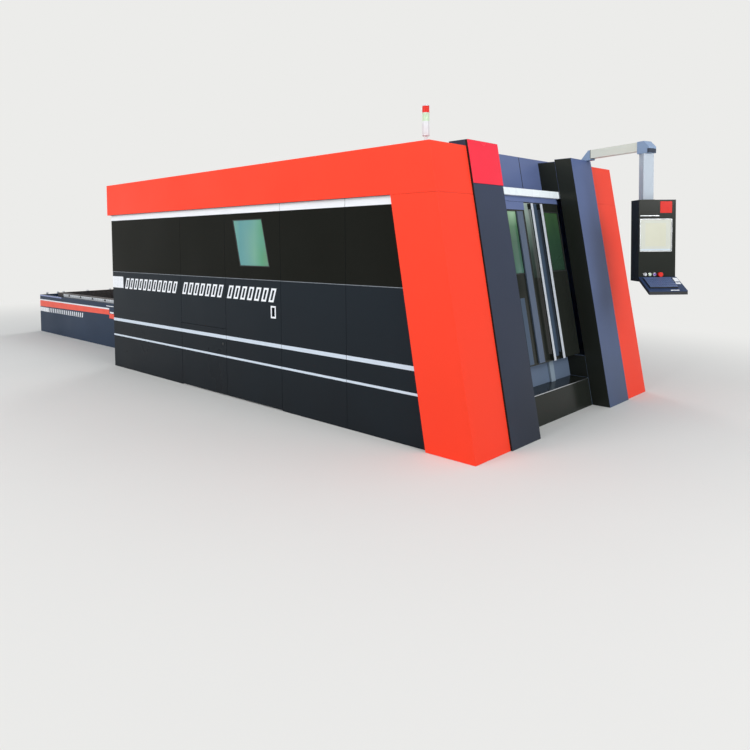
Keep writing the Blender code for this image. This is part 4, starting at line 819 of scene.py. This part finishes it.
def dress_roof_and_rear():
    """What the photo doesn't show: roof joint strips with screws, lifting lugs, rear vents, a box."""
    joints = bmesh.new()
    screws = bmesh.new()
    for x in (-1.84, -0.92, 0.0, 0.92):
        strip(joints, on_roof, x - 0.022, x + 0.022, -1.425, 1.425, -0.001, 0.003)
        for number in range(9):
            y = -1.32 + 0.33 * number
            turn_on(screws, [(0.009, 0.0025), (0.009, 0.006), (0.006, 0.0075), (0, 0.0075)],
                    lambda u, v, h, x=x, y=y: on_roof(x + u, y + v, h), 12)
    piece("roof_joint_strips", joints, "dark_slate", "machine", 0.001)
    lugs = bmesh.new()
    for x in (-2.35, 1.45):
        for y in (-1.2, 1.2):
            strip(lugs, on_roof, x - 0.08, x + 0.08, y - 0.05, y + 0.05, -0.001, 0.006)
            slab(lugs, [(-0.06, 0.005), (0.06, 0.005), (0.032, 0.078), (-0.032, 0.078)],
                 lambda u, h, v, x=x, y=y: on_roof(x + u, y + v, h), -0.006, 0.006,
                 hole=[(-0.018, 0.026), (0.018, 0.026), (0.014, 0.056), (-0.014, 0.056)])
            for step in (-0.062, 0.062):
                turn_on(screws, [(0.011, 0.005), (0.011, 0.012), (0, 0.012)],
                        lambda u, v, h, x=x + step, y=y: on_roof(x + u, y + v, h), 6)
    piece("roof_lifting_lugs", lugs, YELLOW_LACQUER, "machine", 0.0015, slot="aluminium")

    louvres = bmesh.new()
    for y in (-1.22, 1.22):
        vent = [(y - 0.13, 1.44), (y + 0.13, 1.44), (y + 0.13, 1.86), (y - 0.13, 1.86)]
        frame_ring(louvres, on_rear, vent, 0.018, -0.001, 0.004)
        for number in range(10):
            z = 1.452 + 0.0405 * number
            slab(louvres, [(-0.001, z), (0.013, z), (0.013, z + 0.006), (-0.001, z + 0.028)],
                 lambda out, z, v, y=y: on_rear(y + v, z, out), -0.128, 0.128)
    piece("rear_vent_louvres", louvres, "black_plastic", "machine", 0.0008)
    box = bmesh.new()
    strip(box, on_rear, -1.36, -1.10, 0.42, 0.86, -0.001, 0.055)
    piece("rear_supply_box", box, "machine_grey", "machine", 0.006)
    fittings = bmesh.new()
    for y in (-1.30, -1.23, -1.16):
        turn_on(fittings, [(0.020, 0.0), (0.020, 0.022), (0.014, 0.030), (0.010, 0.030), (0, 0.030)],
                lambda u, v, h, y=y: (-FRONT - 0.028 + u, y + v, 0.42 - h), 16)
    turn_on(fittings, [(0.030, 0.0545), (0.030, 0.058), (0.012, 0.062), (0, 0.062)],
            lambda u, v, h: on_rear(-1.16 + u, 0.77 + v, h), 24)
    piece("rear_box_fittings", fittings, "black_plastic", "machine", 0.0006)
    for y, z in ((-1.345, 0.435), (-1.115, 0.435), (-1.345, 0.845), (-1.115, 0.845)):
        turn_on(screws, [(0.007, 0.0545), (0.007, 0.0575), (0, 0.0575)],
                lambda u, v, h, y=y, z=z: on_rear(y + u, z + v, h), 12)
    piece("roof_and_rear_screws", screws, STAINLESS, "machine", slot="aluminium")


def dress_tower():
    """Signal tower: ribbed lenses over the lamps and a white cap."""
    at = Vector((2.2049, -1.325, 0))

    def up(u, v, z):
        return at + Vector((u, v, z))

    def ribbed(low, high, ribs):
        rise = (high - low) / ribs
        profile = [(0, low)]
        for number in range(ribs):
            z = low + rise * number
            profile += [(0.0256, z), (0.0269, z + rise * 0.3), (0.0269, z + rise * 0.7), (0.0256, z + rise)]
        return profile + [(0, high)]

    green = bmesh.new()
    turn_on(green, ribbed(2.4138, 2.4754, 8), up)
    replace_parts(piece("green_lens_ribbed", green, "green_lens", "machine"), "signal_lens_green")
    red = bmesh.new()
    turn_on(red, ribbed(2.4760, 2.5260, 6), up)
    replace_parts(piece("red_lens_ribbed", red, "stop_red", "machine"), "signal_lens_red")
    cap = bmesh.new()
    turn_on(cap, [(0, 2.5262), (0.0269, 2.5262), (0.0269, 2.5310), (0.0210, 2.5376), (0, 2.5378)], up)
    piece("tower_cap", cap, "light_grey", "machine")
    joints = bmesh.new()
    for z in (2.4120, 2.4745):
        turn_on(joints, [(0.0262, z), (0.0272, z + 0.0006), (0.0272, z + 0.0022), (0.0262, z + 0.0028)], up)
    piece("tower_joint_rings", joints, "light_grey", "machine")


def dress_arm():
    """Swivel arm: gaskets at both ends of the beam, the elbow's dark insert, and the drop tube's collar."""
    gaskets = bmesh.new()
    for along in (0.0895, 0.6445):
        ring = [(-0.0340, 2.3148), (0.0340, 2.3148), (0.0340, 2.3978), (-0.0340, 2.3978)]
        hole = [(-0.0322, 2.3166), (0.0322, 2.3166), (0.0322, 2.3960), (-0.0322, 2.3960)]
        slab(gaskets, ring, lambda out, z, depth: on_arm(along + depth, z, out), 0.0, 0.006, hole=hole)
    piece("arm_gaskets", gaskets, RUBBER, "arm", 0.0004, slot="black_plastic")
    insert = bmesh.new()
    strip(insert, lambda out, z, along: on_arm(0.7807 + along, z, out), -0.040, 0.0480, 2.2905, 2.3270,
          -0.001, 0.003)
    strip(insert, on_arm, 0.762, 0.7835, 2.2905, 2.3270, 0.0465, 0.0490)
    piece("elbow_insert", insert, DARK_INSERT, "arm", 0.001, slot="black_plastic")
    collar = bmesh.new()
    hole = [(-0.0465, -0.0465), (0.0465, -0.0465), (0.0465, 0.0465), (-0.0465, 0.0465)]
    ring = [(-0.0545, -0.0545), (0.0545, -0.0545), (0.0545, 0.0545), (-0.0545, 0.0545)]
    slab(collar, ring, round_pendant, 1.8762, 1.8815, hole=hole)
    piece("drop_tube_collar", collar, "black_plastic", "pendant", 0.001)


def dress_pendant():
    """Pendant: screen frame and picture, red bare plate, light line, bezels, keys and pad."""
    frame_shape = bmesh.new()
    screen = [(-0.096, 1.4287), (0.176, 1.4287), (0.176, 1.7037), (-0.096, 1.7037)]
    frame_ring(frame_shape, on_pendant, screen, 0.006, -0.0005, 0.002)
    piece("screen_frame", frame_shape, STAINLESS, "pendant", 0.001, slot="aluminium")
    panes = bmesh.new()
    strip(panes, on_pendant, -0.052, 0.130, 1.470, 1.672, -0.0032, -0.0026)
    piece("screen_field", panes, SCREEN_FIELD, "pendant", slot="screen")
    foot = bmesh.new()
    strip(foot, on_pendant, -0.0925, 0.1725, 1.432, 1.447, -0.0032, -0.0026)
    piece("screen_foot_bar", foot, SCREEN_BAR, "pendant", slot="screen")
    plate = bmesh.new()
    strip(plate, on_pendant, 0.076, 0.180, 1.760, 1.861, -0.001, 0.002)
    piece("pendant_red_plate", plate, PLATE_RED, "pendant", 0.0008, slot="stop_red")
    line = bmesh.new()
    strip(line, on_pendant, -0.100, 0.066, 1.7335, 1.7390, -0.001, 0.0035)
    piece("pendant_light_line", line, ANODISED, "pendant", 0.0005, slot="aluminium")

    bezels = bmesh.new()
    for number, radius in enumerate((0.0113, 0.0113, 0.0113, 0.0103)):
        x = -0.053 + 0.042 * number

        def out_of(u, v, height, x=x):
            return on_pendant(x + u, 1.2237 + v, height)

        turn_on(
            bezels, [(radius, -0.001), (radius + 0.005, -0.001), (radius + 0.005, 0.002),
                     (radius + 0.0035, 0.0035), (radius, 0.0035)], out_of, 32,
        )
    piece("control_bezels", bezels, STAINLESS, "pendant", slot="aluminium")

    keys = bmesh.new()
    for row in range(5):
        back = 0.0335 + 0.0330 * row
        for column in range(14):
            x = -0.0830 + 0.0171 * column
            strip(keys, on_tray, x, x + 0.0146, back, back + 0.0262, 0.0125, 0.0155)
    piece("keyboard_keys", keys, KEY_PLASTIC, "pendant", 0.0008, slot="black_plastic")
    pad = bmesh.new()
    strip(pad, on_tray, 0.1695, 0.2105, 0.034, 0.096, 0.0078, 0.0095)
    for x in (0.1695, 0.1915):
        strip(pad, on_tray, x, x + 0.019, 0.104, 0.128, 0.0, 0.0045)
    piece("pointing_pad_top", pad, WHITE_FILM, "pendant", 0.001, slot="light_white")
    # A white strip along the tray's front lip, standing for the lip's highlight: a painted highlight.
    lip = bmesh.new()
    strip(lip, on_tray, 0.078, 0.152, 0.2240, 0.2330, -0.001, 0.003)
    piece("tray_lip_painted_highlight", lip, WHITE_FILM, "pendant", 0.001, slot="light_white")
    skirt = bmesh.new()
    strip(skirt, lambda x, rise, out: under_tray(x, TRAY_FRONT, rise, out), -0.1075, 0.2215,
          -0.0325, -0.007, UNDER, 0.0006)
    strip(skirt, lambda down, rise, out: under_tray(-0.1095 - out, down, rise, 0.0), 0.003, 0.2345,
          -0.0325, -0.007, UNDER, 0.0006)
    piece("tray_edge_rubber", skirt, RUBBER, "pendant", 0.0003, slot="black_plastic")


def dress_table():
    """Exchange table and its pallet: orange stripe with a white border, blocks, angle and knobs."""
    for side, side_name in SIDES:
        place = on_table(side)
        orange = bmesh.new()
        stripe = [(-6.969, 0.442), (-4.235, 0.480), (-4.235, 0.556), (-6.969, 0.546)]
        slab(orange, stripe, place, UNDER, 0.0005)
        strip(orange, place, -4.234, -4.075, 0.428, 0.497, UNDER, 0.0005)
        piece(f"{side_name}_table_stripe", orange, ORANGE_FILM, "machine", slot="signal_red")
        white = bmesh.new()
        border = [(-6.969, 0.5463), (-4.235, 0.5563), (-4.235, 0.5773), (-6.969, 0.5663)]
        slab(white, border, place, UNDER, 0.0006)
        strip(white, place, -4.215, -4.09, 0.502, 0.525, UNDER, 0.0006)
        for number in range(5):
            x = -6.965 + 0.0775 * number
            strip(white, place, x, x + 0.071, 0.358, 0.430, UNDER, 0.0006)
        for number in range(18):
            x = -6.555 + 0.0785 * number
            foot = 0.358 + 0.0006 * number
            top = foot + 0.073
            slab(white, [(x, foot), (x + 0.036, foot), (x + 0.052, top), (x + 0.016, top)], place, UNDER,
                 0.0006)
        strip(white, place, -4.33, -4.09, 0.602, 0.613, UNDER, 0.0006)
        piece(f"{side_name}_table_lettering_bars", white, WHITE_FILM, "machine", slot="light_white")

    knobs = bmesh.new()
    knob = [
        (0.0136, 0.6455), (0.0136, 0.650), (0.0205, 0.656), (0.0225, 0.664), (0.0205, 0.673),
        (0.013, 0.679), (0, 0.6805),
    ]
    for share in (-0.86, -0.64, -0.52, 0.0, 0.51):
        turn_on(knobs, knob, lambda u, v, z, y=share * TABLE_FACE: (-6.9553 + u, y + v, z), 24)
    piece("table_knobs", knobs, "light_grey", "machine")
    # A pale blue strip along each skirt's top edge: a painted highlight.
    rims = bmesh.new()
    for side in (-1, 1):
        strip(rims, on_table(side), -6.969, -6.02, 0.6225, 0.6440, UNDER, 0.0008)
    piece("table_rim_highlight", rims, RIM_HIGHLIGHT_BLUE, "machine", 0.0008, slot="slate_blue")

    angles = bmesh.new()
    stops = bmesh.new()
    for side in (-1, 1):
        edge = on_pallet(side)
        strip(angles, edge, -6.16, -3.105, 0.638, 0.6875, 0.0002, 0.004)
        for number in range(7):
            x = -5.95 + 0.45 * number
            stop = [(x, 0.655), (x + 0.07, 0.655), (x + 0.045, 0.683), (x + 0.02, 0.683)]
            slab(stops, stop, edge, 0.0038, 0.007)
    piece("pallet_edge_angles", angles, GALVANISED, "upper_pallet", 0.0006, slot="aluminium")
    piece("pallet_edge_stops", stops, "black_plastic", "upper_pallet", 0.0006)


BACKGROUND = "#ECECEA"


def seen_rays(tree):
    """1 for the rays that show the background: the eye's, and those off gloss and through glass."""
    rays = add(tree, "ShaderNodeLightPath")
    both = add(
        tree, "ShaderNodeMath", {0: rays.outputs["Is Camera Ray"], 1: rays.outputs["Is Transmission Ray"]},
        operation="MAXIMUM",
    )
    every = add(
        tree, "ShaderNodeMath", {0: both.outputs[0], 1: rays.outputs["Is Glossy Ray"]}, operation="MAXIMUM"
    )
    return every.outputs[0]


def stage():
    """A plain pale floor, soft studio light and the camera at the photograph's angle."""
    shape = bmesh.new()
    strip(shape, lambda u, v, depth: (u, v, depth), -40, 40, -40, 40, -0.012, -0.0004)
    material, tree, skin, place = shader("pale_studio_floor", {"Roughness": 0.7, "Specular IOR Level": 0.1})
    mottle = add(tree, "ShaderNodeTexNoise", {"Vector": place, "Scale": 0.6, "Detail": 3.0})
    tone = add(
        tree, "ShaderNodeMix",
        {0: mottle.outputs["Fac"], 6: linear("#E6E6E3"), 7: linear("#E2E2DF")}, data_type="RGBA",
    )
    tree.links.new(tone.outputs[2], skin.inputs["Base Color"])
    # Away from the machine the floor runs into the pale background, for the eye and in gloss only.
    oval = add(
        tree, "ShaderNodeMapping",
        {"Vector": place, "Location": (1.2, 0.0, 0.0), "Scale": (0.6, 1.0, 1.0)},
    )
    away = add(tree, "ShaderNodeVectorMath", {0: oval.outputs[0]}, operation="LENGTH")
    fade = add(
        tree, "ShaderNodeMapRange", {"Value": away.outputs["Value"], "From Min": 2.6, "From Max": 7.0},
        interpolation_type="SMOOTHSTEP",
    )
    share = add(
        tree, "ShaderNodeMath", {0: fade.outputs[0], 1: seen_rays(tree)}, operation="MULTIPLY"
    )
    glow = add(tree, "ShaderNodeEmission", {"Color": linear(BACKGROUND), "Strength": 1.0})
    mixed = add(
        tree, "ShaderNodeMixShader",
        {0: share.outputs[0], 1: skin.outputs["BSDF"], 2: glow.outputs["Emission"]},
    )
    tree.links.new(mixed.outputs[0], tree.nodes["Material Output"].inputs["Surface"])
    object_of("studio_floor", shape, material)

    world = bpy.data.worlds.new("studio")
    bpy.context.scene.world = world
    world.use_nodes = True
    tree = world.node_tree
    tree.nodes.clear()
    room = add(tree, "ShaderNodeBackground", {"Color": linear("#E8ECF2"), "Strength": 0.55})
    shown = add(tree, "ShaderNodeBackground", {"Color": linear(BACKGROUND), "Strength": 1.0})
    mixed = add(tree, "ShaderNodeMixShader", {0: seen_rays(tree), 1: room.outputs[0], 2: shown.outputs[0]})
    add(tree, "ShaderNodeOutputWorld", {"Surface": mixed.outputs[0]})

    for name, place, target, size, power in (
        ("key", (-0.5, -13.0, 6.5), (-1.5, -1.0, 1.0), 8.0, 1000),
        ("front_fill", (10.5, -2.0, 4.5), (2.0, 0.0, 1.2), 5.0, 430),
        ("rear_fill", (-8.0, 7.0, 6.0), (-1.0, 0.0, 1.0), 5.0, 300),
    ):
        lamp = bpy.data.lights.new(name, "AREA")
        lamp.shape = "DISK"
        lamp.size = size
        lamp.energy = power
        holder = bpy.data.objects.new(name, lamp)
        holder.location = place
        holder.rotation_euler = (Vector(target) - Vector(place)).to_track_quat("-Z", "Y").to_euler()
        bpy.context.scene.collection.objects.link(holder)

    yaw, pitch, roll = math.radians(43.54), math.radians(2.54), math.radians(-0.5)
    ahead = Vector((-math.cos(pitch) * math.sin(yaw), math.cos(pitch) * math.cos(yaw), -math.sin(pitch)))
    right = ahead.cross(Vector((0, 0, 1))).normalized()
    right = right * math.cos(roll) + right.cross(ahead) * math.sin(roll)
    upward = right.cross(ahead)
    lens = bpy.data.cameras.new("camera")
    lens.lens = 31.44
    lens.shift_y = -0.14
    lens.clip_end = 200
    camera = bpy.data.objects.new("camera", lens)
    camera.matrix_world = Matrix((right, upward, -ahead)).transposed().to_4x4()
    camera.location = (5.2836, -5.1227, 1.5375)
    bpy.context.scene.collection.objects.link(camera)
    bpy.context.scene.camera = camera


stage()
dress_nodes()
for side, side_name in SIDES:
    dress_side(side, side_name)
dress_portal()
dress_roof_and_rear()
dress_tower()
dress_arm()
dress_pendant()
dress_table()

bpy.context.scene.view_settings.view_transform = "Standard"
